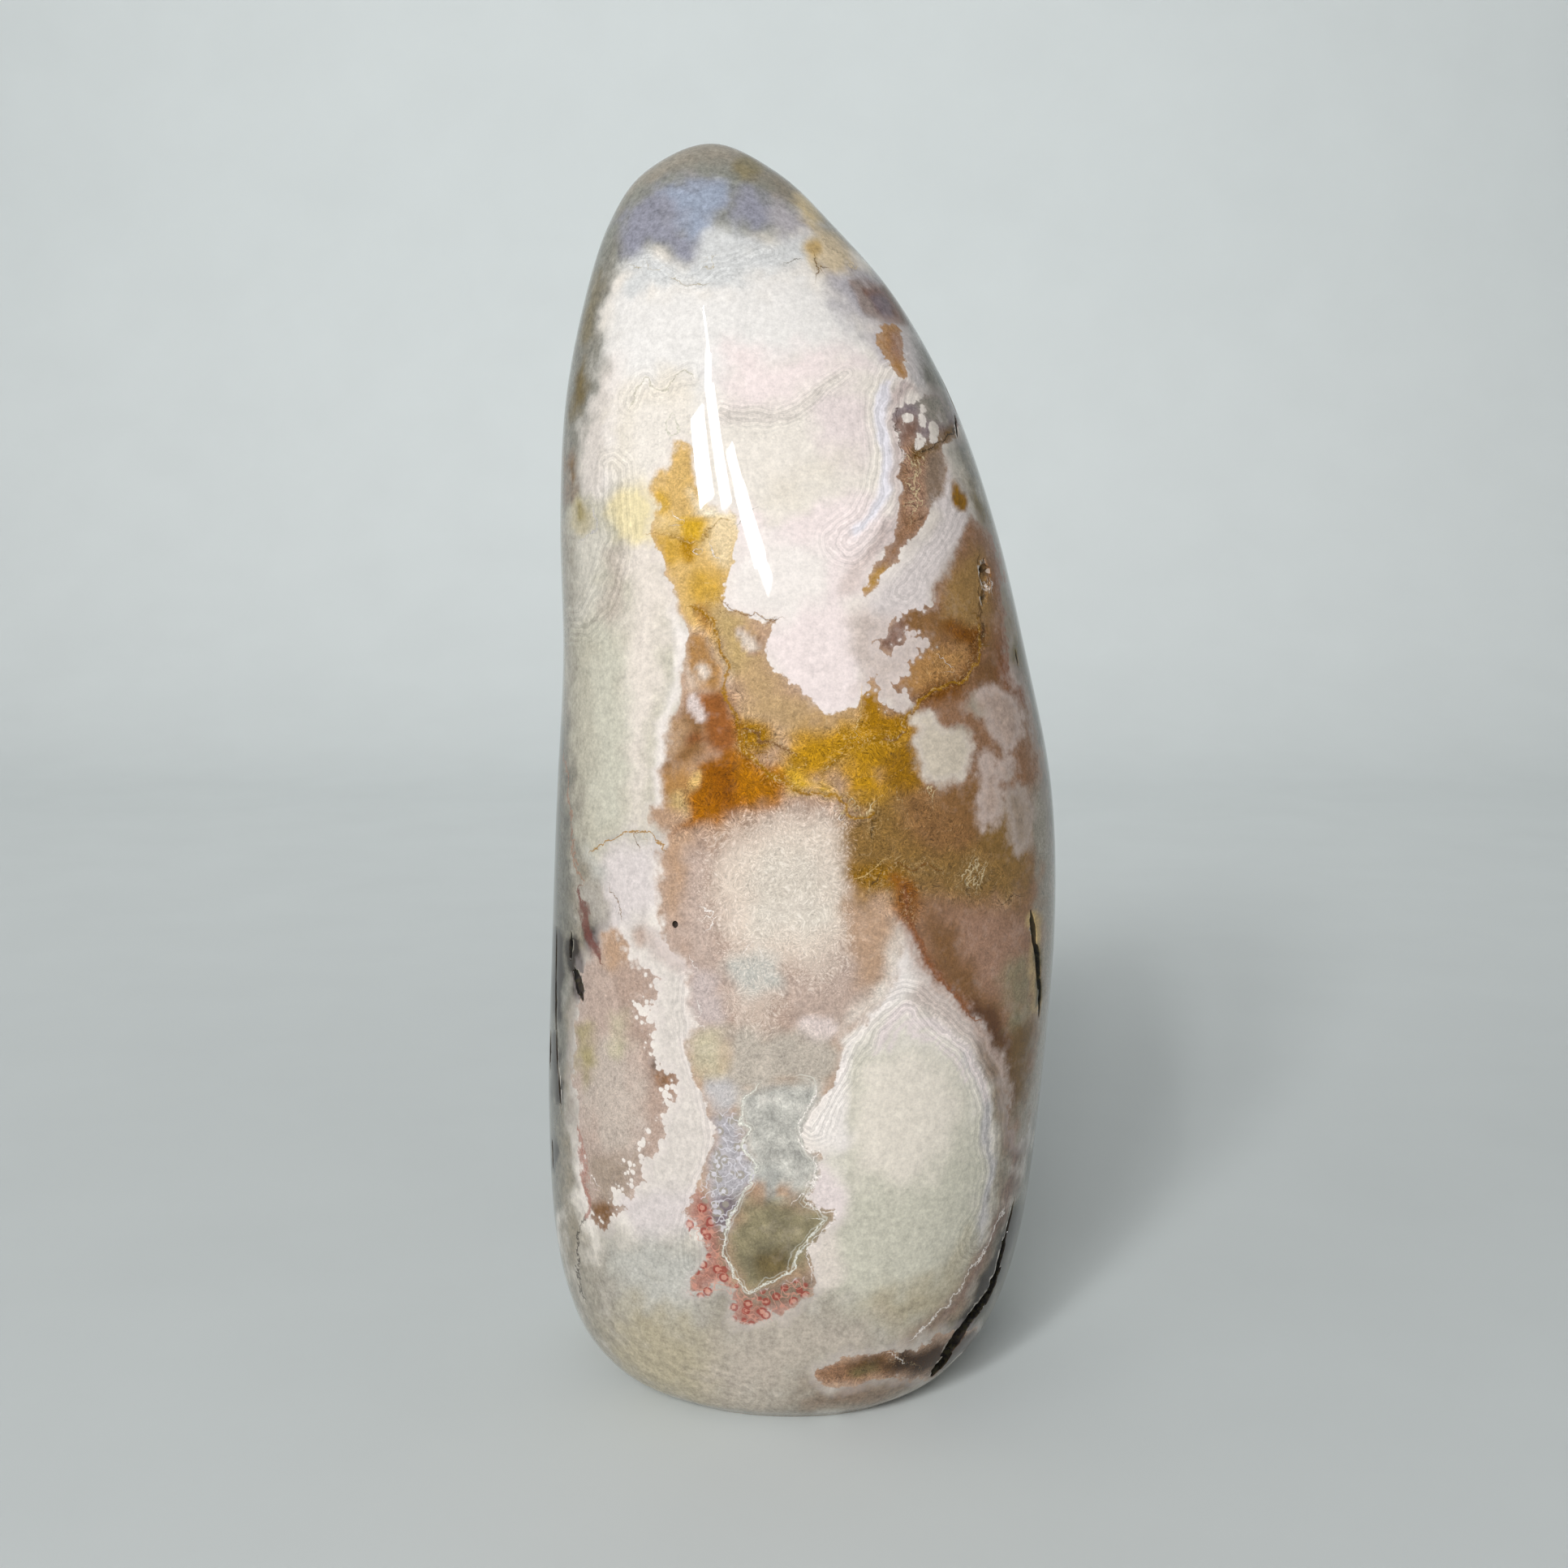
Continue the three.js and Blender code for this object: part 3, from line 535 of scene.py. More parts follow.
# Washes of colour in the clear quartz.
CLEAR_WASHES = (
    (ROSE_BROWN, 2, "1120,630 1260,630 1300,1400 1200,1400 1080,1000 1110,760"),
    # tongue
    (AMBER, 0.8, "800,530 870,540 930,640 925,720 890,745 890,820 868,780 845,770 790,600"),
    (BUTTER_WHITE, 1, "853,610 870,620 905,634 912,660 880,640 858,634"),
    (APRICOT, 1.2, "806,632 830,640 850,640 840,656 812,658"),
    (BRIGHT_GOLD, 0.7, "838,640 876,640 876,658 852,664 838,658"),
    (PALE_AMBER, 0.7, "803,660 842,662 856,690 820,692 806,676"),
    (GOLD, 0.5, "838,662 852,664 852,690 842,692"),
    (BRIGHT_GOLD, 0.7, "806,612 818,606 822,622 812,634"),
    (PALE_AMBER, 1.2, "858,700 884,705 898,730 880,752 862,745 852,722"),
    (BUTTER, 1, "875,642 912,650 906,690 890,700 876,688"),
    (GOLD_BROWN, 1, "858,752 872,758 884,790 876,780 862,770"),
    # between tongue and plume
    (TAN, 2, "880,750 945,765 960,830 1000,876 1060,872 1060,910 1010,940 950,900 920,880 898,810"),
    (TAWNY, 1.5, "882,755 920,762 925,800 905,830 890,800"),
    (ROSE_TAN, 1.2, "925,765 955,768 945,795 930,800"),
    (GOLD, 2, "985,900 1050,885 1062,858 1080,858 1100,885 1125,885 1130,930 1136,965 1080,960 1040,950"
              " 1000,960 960,940"),
    (OCHRE, 1.5, "1080,925 1125,915 1138,960 1120,985 1090,970"),
    (DEEP_GOLD, 1, "1062,860 1080,862 1100,885 1120,884 1120,900 1095,905 1065,900"),
    (GOLD, 1.5, "1050,950 1085,945 1095,975 1095,1000 1070,1000 1045,985"),
    (DEEP_GOLD, 1, "900,890 945,895 950,925 915,930 902,910"),
    (BRIGHT_GOLD, 1, "960,950 1010,960 1030,980 1000,976 965,968"),
    # rosy brown and burnt orange left of the seam
    (WARM_CREAM, 1.2, "843,775 872,790 890,820 898,850 880,860 850,840 842,810"),
    (CARAMEL, 1.2, "850,780 875,790 892,830 895,860 865,850 848,820"),
    (RUSSET, 1.2, "865,855 898,850 906,900 900,930 870,930 862,890"),
    (WARM_BROWN, 1.2, "835,885 865,885 870,930 850,935 820,960 818,920"),
    (RUST, 0.7, "838,905 868,905 870,914 838,915"),
    (SAND, 0.8, "822,890 850,895 840,915 828,930 818,925"),
    (CARAMEL, 1.2, "815,965 840,945 858,962 846,1000 822,990"),
    (TAWNY, 1, "830,980 850,985 845,1005 828,995"),
    (BURNT, 0.8, "862,950 880,935 905,925 925,935 945,945 958,955 965,965 960,990 940,1000 905,1000"
                 " 885,1018 870,1015 845,1020 822,1030 830,1020 848,1005 850,985 860,970"),
    (BURNT_AMBER, 1.4, "880,940 905,940 910,975 905,1000 884,1000 878,970"),
    (GOLD_BROWN, 1.4, "915,940 948,945 960,970 950,988 920,990 912,970"),
    # small pale ovals
    (ROSE_BROWN, 0.3, "908,776 918,773 930,782 936,797 926,804 914,795"),
    (SUGAR, 0.3, "909,779 916,775 927,782 932,796 926,801 916,796"),
    (SUGAR, 0.4, "860,822 868,819 875,828 871,837 863,836"),
    (ROSE_BROWN, 0.3, "846,860 856,854 866,866 870,884 862,892 850,882"),
    (ROSE_PEARL, 0.3, "848,861 854,856 861,862 867,873 869,884 863,890 856,887 850,875"),
    (AMBER, 0.5, "850,962 858,953 863,956 858,966 852,972"),
    # fluffy crystal ground under the heart
    (DULL_ROSE, 2.5, "815,1040 870,1030 950,1000 1000,985 1045,1010 1050,1100 1110,1150 1090,1230"
                     " 1030,1300 900,1300 850,1290 845,1200 815,1150"),
    (ROSE_TAN, 1.2, "820,1035 850,1030 848,1080 838,1130 822,1125 818,1080"),
    (ROSE_BEIGE, 1.5, "845,1060 866,1060 872,1120 890,1180 940,1230 900,1240 870,1200 850,1150"),
    (SUGAR, 2.5, "900,1040 1030,1010 1038,1110 1030,1180 960,1180 900,1140"),
    (IVORY_SHADE, 2.5, "935,1055 1010,1050 1020,1100 1010,1150 945,1150 930,1100"),
    (ROSE_BEIGE, 2, "985,1205 1050,1160 1070,1190 1050,1230 1010,1270 975,1250"),
    (ROSE_TAN, 1.5, "1045,1110 1104,1120 1106,1170 1085,1215 1060,1215 1048,1170"),
    (WARM_CREAM, 2, "1100,1150 1118,1140 1116,1190 1096,1228 1064,1256 1044,1276 1036,1296 1034,1270"
                    " 1056,1240 1084,1205"),
    (POCKET_GREY, 1.5, "900,1180 950,1175 965,1210 930,1225 905,1215"),
    (ROSE_GREY, 1.2, "848,1195 878,1200 892,1240 882,1265 852,1262"),
    (ROSE_GREY, 0.6, "872,1220 880,1220 890,1256 884,1262"),
    (OLIVE_CREAM, 2, "850,1278 890,1275 905,1300 900,1330 880,1338 858,1320"),
    (GREY_LAVENDER, 1, "868,1338 884,1326 906,1328 908,1365 890,1375 876,1362"),
    (ROSE_BEIGE, 1.2, "982,1208 1040,1195 1050,1230 1030,1258 1000,1246"),
    (GREIGE, 1, "985,1288 1022,1284 1016,1335 990,1330"),
    (ROSE_PEARL, 0.5, "985,1260 1005,1252 1032,1268 1020,1284 995,1278"),
    (GREIGE, 1.5, "900,1270 990,1275 1030,1300 1010,1340 930,1345 900,1330"),
    # olive ground right of it
    (OLIVE_TAN, 2.5, "1040,1010 1110,985 1180,985 1260,1000 1275,1090 1240,1125 1180,1110 1120,1100"
                     " 1060,1090"),
    (WARM_BROWN, 1.8, "1120,985 1150,965 1205,960 1215,1030 1170,1050 1120,1040"),
    (OCHRE, 1.2, "1050,1075 1085,1065 1115,1080 1118,1110 1100,1105 1060,1100"),
    (BURNT_AMBER, 0.8, "1096,1082 1116,1088 1126,1120 1120,1142 1108,1120"),
    (BURNT_AMBER, 1, "1110,1095 1127,1098 1128,1150 1116,1148"),
    (DUSTY_ROSE, 2.5, "1150,1125 1230,1120 1265,1150 1262,1240 1220,1240 1170,1190 1140,1160"),
    (DARK_BROWN, 1.8, "1130,1120 1160,1125 1190,1180 1230,1240 1240,1280 1190,1240 1150,1200"),
    (RUST, 0.8, "1112,1135 1125,1150 1145,1185 1165,1212 1195,1235 1215,1262 1235,1298 1240,1330"
                " 1228,1300 1205,1265 1178,1240 1150,1210 1130,1182"),
    (UMBER, 0.8, "1200,1225 1240,1270 1262,1300 1262,1350 1246,1378 1240,1330 1222,1285 1200,1258"),
    (POCKET_OLIVE, 1.6, "1240,1190 1266,1190 1266,1270 1246,1260"),
    (OLIVE_BROWN, 1.2, "1240,1290 1275,1260 1270,1340 1252,1380 1244,1340"),
    # grey along the right silhouette: partly the stone's own colour and partly painted shade
    (GREY, 1.2, "1270,980 1320,980 1320,1300 1262,1430 1250,1410 1262,1360 1274,1300 1282,1200 1280,1100"),
    (TAWNY, 0.5, "1266,1128 1276,1128 1282,1150 1284,1200 1281,1244 1272,1246 1270,1200 1270,1160"),
    (MOSS, 0.35, "1274,1168 1283,1170 1284,1225 1276,1240 1276,1200"),
    # right of the plume
    (WARM_BROWN, 1.5, "1105,755 1150,745 1175,765 1165,800 1140,800 1120,775"),
    (PLUM_BROWN, 1, "1080,795 1104,765 1116,787 1102,806"),
    (ROSE_BROWN, 1.2, "1165,720 1190,660 1210,650 1200,700 1180,740"),
    (KHAKI, 1.6, "1178,700 1205,680 1220,720 1212,800 1180,780 1160,750"),
    (DARK_AMBER, 1, "1160,768 1190,770 1208,765 1214,792 1205,818 1190,838 1168,852 1140,866 1128,868"
                    " 1132,850 1172,832 1192,812 1192,796 1174,788"),
    (CARAMEL, 1, "1124,814 1150,802 1175,800 1190,806 1184,826 1164,838 1144,850 1124,850 1112,842"),
    (DARK_AMBER, 1.2, "1140,848 1175,842 1190,838 1180,856 1145,870"),
    (DARK_BROWN, 1.4, "1208,810 1225,800 1240,830 1240,845 1205,845 1190,850"),
    (ROSE_BROWN, 1, "1196,905 1215,890 1228,925 1222,935 1202,930"),
    (RUST, 1.5, "1226,660 1236,760 1240,850 1300,860 1280,700"),
    # mauve and crystal brown
    (DIM_LILAC, 0.8, "1100,495 1180,480 1190,525 1160,548 1135,552 1105,545"),
    (PLUM_BROWN, 0.7, "1104,520 1128,516 1132,545 1108,546"),
    (SMOKE, 0.8, "1128,488 1165,495 1172,520 1150,520 1132,510"),
    (DUSTY_ROSE, 0.7, "1106,552 1142,552 1144,600 1142,645 1108,665"),
    (ROSE_BROWN, 0.6, "1106,580 1116,580 1117,645 1108,650"),
    (OLIVE_BROWN, 0.7, "1134,545 1176,520 1180,542 1160,552 1138,566 1126,576 1124,562"),
    (MAUVE, 0.9, "1144,560 1166,560 1166,620 1150,625 1142,600"),
    (ROSE_BROWN, 0.8, "1100,640 1142,636 1130,668 1100,700 1080,700 1094,675"),
    (GOLD, 0.6, "1060,722 1074,706 1096,700 1084,716 1068,730"),
    # the two amber ovals
    (CARAMEL, 0.6, "1080,395 1120,395 1122,470 1084,470"),
    (DUSTY_ROSE, 0.8, "1092,412 1108,412 1112,440 1102,444"),
    # pink quartz low on the left
    (ROSE_BEIGE, 2, "700,1140 820,1140 840,1340 790,1500 700,1500"),
    (ROSE_TAN, 1.2, "740,1145 770,1140 768,1195 745,1195"),
    (DULL_ROSE, 1.5, "760,1195 812,1200 808,1300 835,1330 830,1360 800,1420 790,1380 795,1310 770,1260"),
    (BEIGE, 2, "725,1280 770,1285 790,1350 785,1410 745,1420 722,1350"),
    (KHAKI_CREAM, 1.3, "714,1268 728,1268 732,1312 722,1330 714,1310"),
    (OLIVE_CREAM, 1.3, "755,1250 770,1256 768,1300 756,1300"),
    (TAUPE, 1.5, "728,1428 785,1425 770,1470 745,1490 730,1460"),
    (DARK_BROWN, 0.8, "724,1484 752,1486 756,1508 744,1514 728,1502"),
    (DEEP_BROWN, 0.8, "806,1306 814,1310 812,1326 806,1322"),
    (ROSE_BROWN, 0.7, "808,1322 830,1322 832,1345 810,1345"),
    # the pocket and its ringed walls
    (DIM_LAVENDER, 1, "882,1375 905,1375 925,1410 932,1445 908,1490 880,1500 872,1470 880,1420"),
    (POCKET_GREY, 1.2, "915,1345 1005,1340 1002,1410 1010,1440 985,1470 960,1455 930,1450 918,1400"),
    (STEEL, 0.7, "935,1447 945,1440 955,1440 960,1455 957,1470 965,1478 975,1480 955,1484 940,1470"),
    (POCKET_OLIVE, 1.6, "898,1500 920,1478 945,1482 975,1482 1000,1480 1030,1500 1005,1530 990,1565"
                        " 960,1570 930,1592 902,1572 892,1530"),
    (OLIVE_DRAB, 1, "930,1545 965,1540 975,1565 940,1575"),
    (CORAL, 0.8, "848,1480 862,1468 880,1500 888,1545 905,1590 935,1605 985,1595 960,1625 905,1632"
                 " 890,1590 850,1600 858,1565 866,1540 846,1512"),
    (DIM_LILAC, 0.8, "878,1480 905,1480 900,1515 886,1518"),
    (MAUVE, 0.8, "886,1520 896,1525 905,1575 925,1596 965,1576 1000,1572 1006,1586 980,1602 940,1612"
                 " 912,1600 890,1560"),
    # brown patch by the foot
    (ROSE_BROWN, 1, "1000,1685 1040,1672 1120,1662 1110,1690 1050,1700 1010,1700"),
    (BROWN_SHADOW, 0.9, "1040,1674 1076,1670 1096,1674 1110,1690 1078,1688 1044,1684"),
    (OLIVE_DRAB, 0.7, "1052,1682 1078,1682 1078,1692 1052,1692"),
    (DEEP_BROWN, 1, "1105,1668 1150,1652 1215,1640 1200,1675 1150,1692 1105,1690"),
)

# Fine veins: colour, half the width in mm, line.
VEINS = (
    (DEEP_GOLD, 0.26, "858,752 875,765 885,790 890,805 900,820 893,840 897,860 905,870 912,890 911,905"
                      " 910,920 922,930 935,940 950,955 960,961 975,968 1000,977 1025,978 1035,985"
                      " 1045,997 1060,1008 1078,1003"),
    (DEEP_GOLD, 0.2, "1018,943 1035,930 1045,917 1060,920 1075,910 1090,905"),
    (DARK_BROWN, 0.2, "1085,907 1100,910 1112,906"),
    (DEEP_GOLD, 0.22, "1112,892 1125,870 1150,850 1170,842 1190,835 1203,815 1208,790 1205,760"),
    (DARK_BROWN, 0.25, "923,900 937,905 935,916 952,916 968,924"),
    (AMBER, 0.08, "1061,858 1060,880 1058,905"),
    (DEEP_GOLD, 0.12, "732,1048 745,1042 755,1033 770,1028 785,1025 800,1025 808,1033 815,1044"),
    (OLIVE_BROWN, 0.07, "784,1030 786,1045"),
    (DUSTY_ROSE, 0.14, "697,930 702,980 706,1030 711,1065 716,1080"),
    (CORAL, 0.34, "712,1395 716,1420 720,1445 724,1465 727,1485 722,1500"),
    (BLACK_BROWN, 0.09, "722,1500 715,1515 712,1540 712,1560 715,1580 722,1600"),
    (MAROON, 0.55, "718,1112 722,1135 727,1155 734,1174"),
    (MAROON, 0.2, "715,1098 718,1112"),
    (RUST, 0.26, "1112,1098 1117,1125 1124,1148 1140,1180 1158,1203 1180,1228 1200,1250"),
    (BROWN_SHADOW, 0.14, "1206,686 1207,705 1205,730 1206,752 1209,775 1208,792"),
    (DEEP_BROWN, 0.07, "1105,503 1105,520 1108,540 1109,560"),
    (OLIVE_BROWN, 0.08, "755,1098 761,1110 765,1126"),
    (CHALK, 0.1, "1236,1486 1226,1508 1216,1532 1204,1556 1188,1577 1170,1604 1150,1628 1128,1646"),
    (GREY, 0.06, "912,652 920,641 931,627"),
    (HONEY, 0.08, "868,660 875,652 885,645 893,645"),
    (HONEY, 0.1, "803,658 824,660 840,662 852,670 868,661"),
    (WARM_BROWN, 0.09, "893,742 905,750 915,756 930,757 945,766 957,765"),
    (WARM_BROWN, 0.07, "1117,886 1128,878 1128,868"),
    (SAGE_SHADE, 0.14, "778,500 786,480 793,463 803,475 812,481 821,480 830,466 842,455 850,461"),
    (SAGE, 0.12, "828,512 822,520 824,532 832,536 838,526 834,514"),
    (PALE_OLIVE, 0.07, "830,340 840,347 855,351 866,351"),
    (PALE_OLIVE, 0.06, "878,316 872,319"),
    (PALE_OLIVE, 0.06, "876,324 877,330 870,334"),
    (PALE_OLIVE, 0.06, "780,328 788,331"),
    (PALE_OLIVE, 0.06, "800,328 802,333 808,335 813,331"),
    (SMOKE, 0.08, "968,324 978,322"),
    (OLIVE_BROWN, 0.13, "1006,320 1010,329 1007,338"),
    (OLIVE_BROWN, 0.09, "1009,329 1016,329"),
    (STRAW, 0.1, "1014,292 1026,306 1040,316 1054,328"),
    (GREY_LAVENDER, 0.1, "722,664 732,655 735,640 732,628"),
    (BLACK_BROWN, 0.12, "1178,508 1179,522 1167,539 1146,551 1138,558"),
    (DARK_AMBER, 0.12, "1108,1068 1130,1072 1144,1066 1156,1070"),
    (AMBER, 0.1, "1056,1082 1070,1074 1088,1066"),
    (BLACK_BROWN, 0.1, "1073,1018 1074,1028"),
    # the pocket's walls
    (GREEN_WHITE, 0.13, "930,1340 918,1356 918,1380 912,1386 925,1395 918,1412 928,1430 935,1442 920,1450"
                        " 924,1462 916,1477 907,1484 898,1503 894,1520 892,1540 900,1560 905,1575"
                        " 915,1586 926,1594 936,1588 950,1578 963,1570 976,1568 978,1553 988,1545"
                        " 998,1528 1008,1512 1018,1500"),
    (CHALK, 0.1, "1005,1345 1000,1360 990,1380 985,1395 985,1410 992,1420 1003,1426 1002,1450 990,1465"
                 " 982,1475"),
    (CHALK, 0.1, "1009,1420 1006,1440 1010,1450 996,1470 1001,1485 1010,1490 1027,1492 1027,1508"
                 " 1015,1515 1005,1530 997,1545 1000,1570"),
    # golden needles in the crystal brown and olive ground
    (BLOND, 0.08, "1118,563 1126,572 1133,569"),
    (BLOND, 0.07, "1122,577 1129,585 1131,597"),
    (BLOND, 0.08, "1136,566 1133,578 1126,588"),
    (BLOND, 0.07, "1120,596 1129,603 1126,613"),
    (BLOND, 0.08, "1134,600 1129,610 1136,618"),
    (BLOND, 0.07, "1121,622 1130,626 1127,633"),
    (DARK_AMBER, 0.1, "1128,560 1137,570 1130,576"),
    (BLOND, 0.1, "1036,1004 1041,998"),
    (BLOND, 0.09, "1050,985 1058,993 1066,1000"),
    (BLOND, 0.1, "1060,1005 1070,1001 1078,993"),
    (BLOND, 0.08, "1143,972 1148,965 1152,970"),
    (BLOND, 0.08, "1150,982 1153,971"),
    (BLOND, 0.09, "1195,1087 1200,1068"),
    (BLOND, 0.09, "1203,1089 1205,1066"),
    (BLOND, 0.08, "1188,1079 1196,1063"),
    (BLOND, 0.08, "1208,1085 1214,1070"),
    (DEEP_BROWN, 0.09, "1194,1084 1193,1097"),
    (DEEP_BROWN, 0.08, "1240,1112 1250,1106 1256,1104"),
    (BROWN_SHADOW, 0.1, "1086,1072 1080,1084 1072,1092"),
    # glints of single crystals
    (CHALK, 0.1, "852,677 855,679"),
    (CHALK, 0.08, "875,675 881,686"),
    (CHALK, 0.08, "831,639 834,642"),
    (CHALK, 0.14, "870,1122 876,1125"),
    (CHALK, 0.1, "875,1141 880,1136"),
    (CHALK, 0.09, "917,1168 921,1162"),
    (CHALK, 0.09, "936,1174 940,1180"),
    (CHALK, 0.08, "855,1185 856,1189"),
    (CHALK, 0.08, "862,1237 863,1242"),
    (CHALK, 0.08, "857,1262 860,1264"),
    (CHALK, 0.1, "1034,1003 1037,1006"),
    (CHALK, 0.1, "1103,1674 1108,1676"),
    (CHALK, 0.08, "732,1454 735,1457"),
    (CHALK, 0.08, "1164,814 1167,817"),
    (CHALK, 0.12, "1213,718 1216,726"),
    (CHALK, 0.1, "1220,716 1222,726"),
)

# Fine agate banding: spacing in mm, how far it carries on in mm, its strength and the line that it follows.
BANDS = (
    (0.95, 5.5, 0.8, "1106,462 1098,490 1092,530 1096,575 1090,612 1072,646 1046,668"),
    (0.6, 2.4, 0.7, "892,508 925,514 958,512 990,498 1012,482 1040,464"),
    (0.8, 2.6, 0.5, "778,500 793,466 812,482 830,468 850,462"),
    (0.85, 4.5, 0.7, "757,575 759,640 757,690 750,715 738,742 722,764 706,768"),
    (0.7, 4.0, 0.9, "1000,1386 1025,1340 1048,1290 1085,1245 1117,1228 1150,1250 1185,1282 1210,1322"
                    " 1220,1370 1224,1430 1218,1490 1200,1535"),
    (0.7, 3.0, 0.6, "846,1215 850,1290 872,1345 882,1400 868,1450 852,1500 846,1560"),
    (0.8, 3.0, 0.6, "1180,600 1170,640 1140,690 1110,730"),
    (1.1, 5.0, 0.5, "700,1500 722,1580 760,1650 830,1700 920,1722"),
    (0.7, 2.5, 0.5, "770,322 800,320 830,338 856,346 880,330 905,322 950,308"),
)

# Areas that the shader looks up by their names.
AREAS = {
    "pocket": POCKET, "laced": LACED, "ringed": RINGED, "red_ringed": RED_RINGED, "sugary": SUGARY,
    "stained": STAINED, "fuzzy": FUZZY, "glassy": GLASSY, "lined": LINED, "lacy": LACY, "grainy": GRAINY,
}


# The polished form

def catmull_rom(points, t):
    """Points of a smooth curve through the rows of an array, at the parameters t, in row numbers."""
    i = np.clip(np.floor(t).astype(int), 0, len(points) - 2)
    f = (t - i)[:, None]
    longer = np.vstack([2 * points[:1] - points[1:2], points, 2 * points[-1:] - points[-2:-1]])
    before, here, ahead, beyond = (longer[i + k] for k in range(4))
    leave, arrive = (ahead - before) / 2, (beyond - here) / 2
    return ((2 * here - 2 * ahead + leave + arrive) * f ** 3
            + (3 * ahead - 3 * here - 2 * leave - arrive) * f ** 2 + leave * f + here)


def station_rows():
    """The stations with a mirrored one past the tip, which makes the tip round."""
    rows = np.array(STATIONS, float)
    z, left, right, front, back = rows[-2]
    return np.vstack([rows, [z, right, left, back, front]])


PROFILE_ROWS = station_rows()


def section(t):
    """Height, middle and half sizes of the stone's level sections at the parameters t."""
    z, left, right, front, back = catmull_rom(PROFILE_ROWS, t).T
    return z, (left + right) / 2, (front + back) / 2, (right - left) / 2, (back - front) / 2


def swell(turn, z):
    """What the lobes make of a section's radius, at a turn and a height."""
    waves = [share * np.sin(around * turn + per_mm * z + start) for around, per_mm, share, start in LOBES]
    return 1 + sum(waves)


def signed_power(value, exponent):
    """A power of a number's size, with the number's own sign."""
    return np.sign(value) * np.abs(value) ** exponent


def surface(t, turn):
    """Points of the polished surface, in mm."""
    z, middle_x, middle_y, half_x, half_y = section(np.atleast_1d(np.asarray(t, float)))
    grown = swell(turn, z)
    x = middle_x + half_x * grown * signed_power(np.sin(turn), 2 / SQUARENESS)
    y = middle_y - half_y * grown * signed_power(np.cos(turn), 2 / SQUARENESS)
    return np.stack([x, y, z + 0 * x], -1)


DENSE_T = np.linspace(0, len(STATIONS) - 1, DENSE_SECTIONS)
DENSE = section(DENSE_T)


def section_at(z):
    """Middle and half sizes of the level section at the heights z."""
    return [np.interp(z, DENSE[0], values) for values in DENSE[1:]]


def place_in_section(points):
    """How far under the polished surface each point lies, in mm, and its turn round from the front."""
    x, y, z = points.T
    middle_x, middle_y, half_x, half_y = section_at(z)
    across = (x - middle_x) / np.maximum(half_x, LEAST_HALF_SIZE)
    along = (y - middle_y) / np.maximum(half_y, LEAST_HALF_SIZE)
    turn = np.arctan2(signed_power(across, SQUARENESS / 2), -signed_power(along, SQUARENESS / 2))
    size = (np.abs(across) ** SQUARENESS + np.abs(along) ** SQUARENESS) ** (1 / SQUARENESS)
    return (1 - size / swell(turn, z)) * np.minimum(half_x, half_y), turn


def even_rows():
    """Parameters from the foot's edge to the tip, evenly spaced along the surface."""
    z, middle_x, middle_y, half_x, half_y = DENSE
    sides = np.stack([middle_x - half_x, middle_x + half_x, middle_y - half_y, middle_y + half_y])
    step = np.hypot(np.diff(z), np.abs(np.diff(sides, axis=1)).max(0))
    walked = np.concatenate([[0], np.cumsum(step)])
    return np.interp(np.linspace(0, walked[-1], ROWS + 1), walked, DENSE_T)


def column_turns():
    """Turns round the stone, closer together on the shown side."""
    front = np.linspace(-FRONT_HALF_TURN, FRONT_HALF_TURN, FRONT_COLUMNS, endpoint=False)
    back = np.linspace(FRONT_HALF_TURN, 2 * math.pi - FRONT_HALF_TURN, BACK_COLUMNS, endpoint=False)
    return np.concatenate([front, back])


def polished_mesh():
    """The whole polished skin, closed by the flat foot."""
    turns = column_turns()
    columns = len(turns)
    rings = [surface(np.full(columns, t), turns) for t in even_rows()[:-1]]
    foot_middle = rings[0].mean(0)
    foot = [foot_middle + (rings[0] - foot_middle) * k / FOOT_ROWS for k in range(1, FOOT_ROWS)]
    rings = foot + rings
    points = np.concatenate(rings + [foot_middle[None], surface(float(len(STATIONS) - 1), np.zeros(1))])
    under, tip = len(points) - 2, len(points) - 1
    faces = []
    for row in range(len(rings) - 1):
        for c in range(columns):
            a, b = row * columns + c, row * columns + (c + 1) % columns
            faces.append((a, b, b + columns, a + columns))
    top = (len(rings) - 1) * columns
    for c in range(columns):
        d = (c + 1) % columns
        faces.append((under, d, c))
        faces.append((top + c, top + d, tip))
    mesh = bpy.data.meshes.new("stone_skin")
    mesh.from_pydata((points * MM).tolist(), [], faces)
    mesh.update()
    return mesh


def add_object(name, mesh):
    """Puts a mesh in the scene as a piece of its own."""
    piece = bpy.data.objects.new(name, mesh)
    bpy.context.scene.collection.objects.link(piece)
    return piece


# Pits

def t_at(z):
    """The parameter of a height."""
    return float(np.interp(z, DENSE[0], DENSE_T))


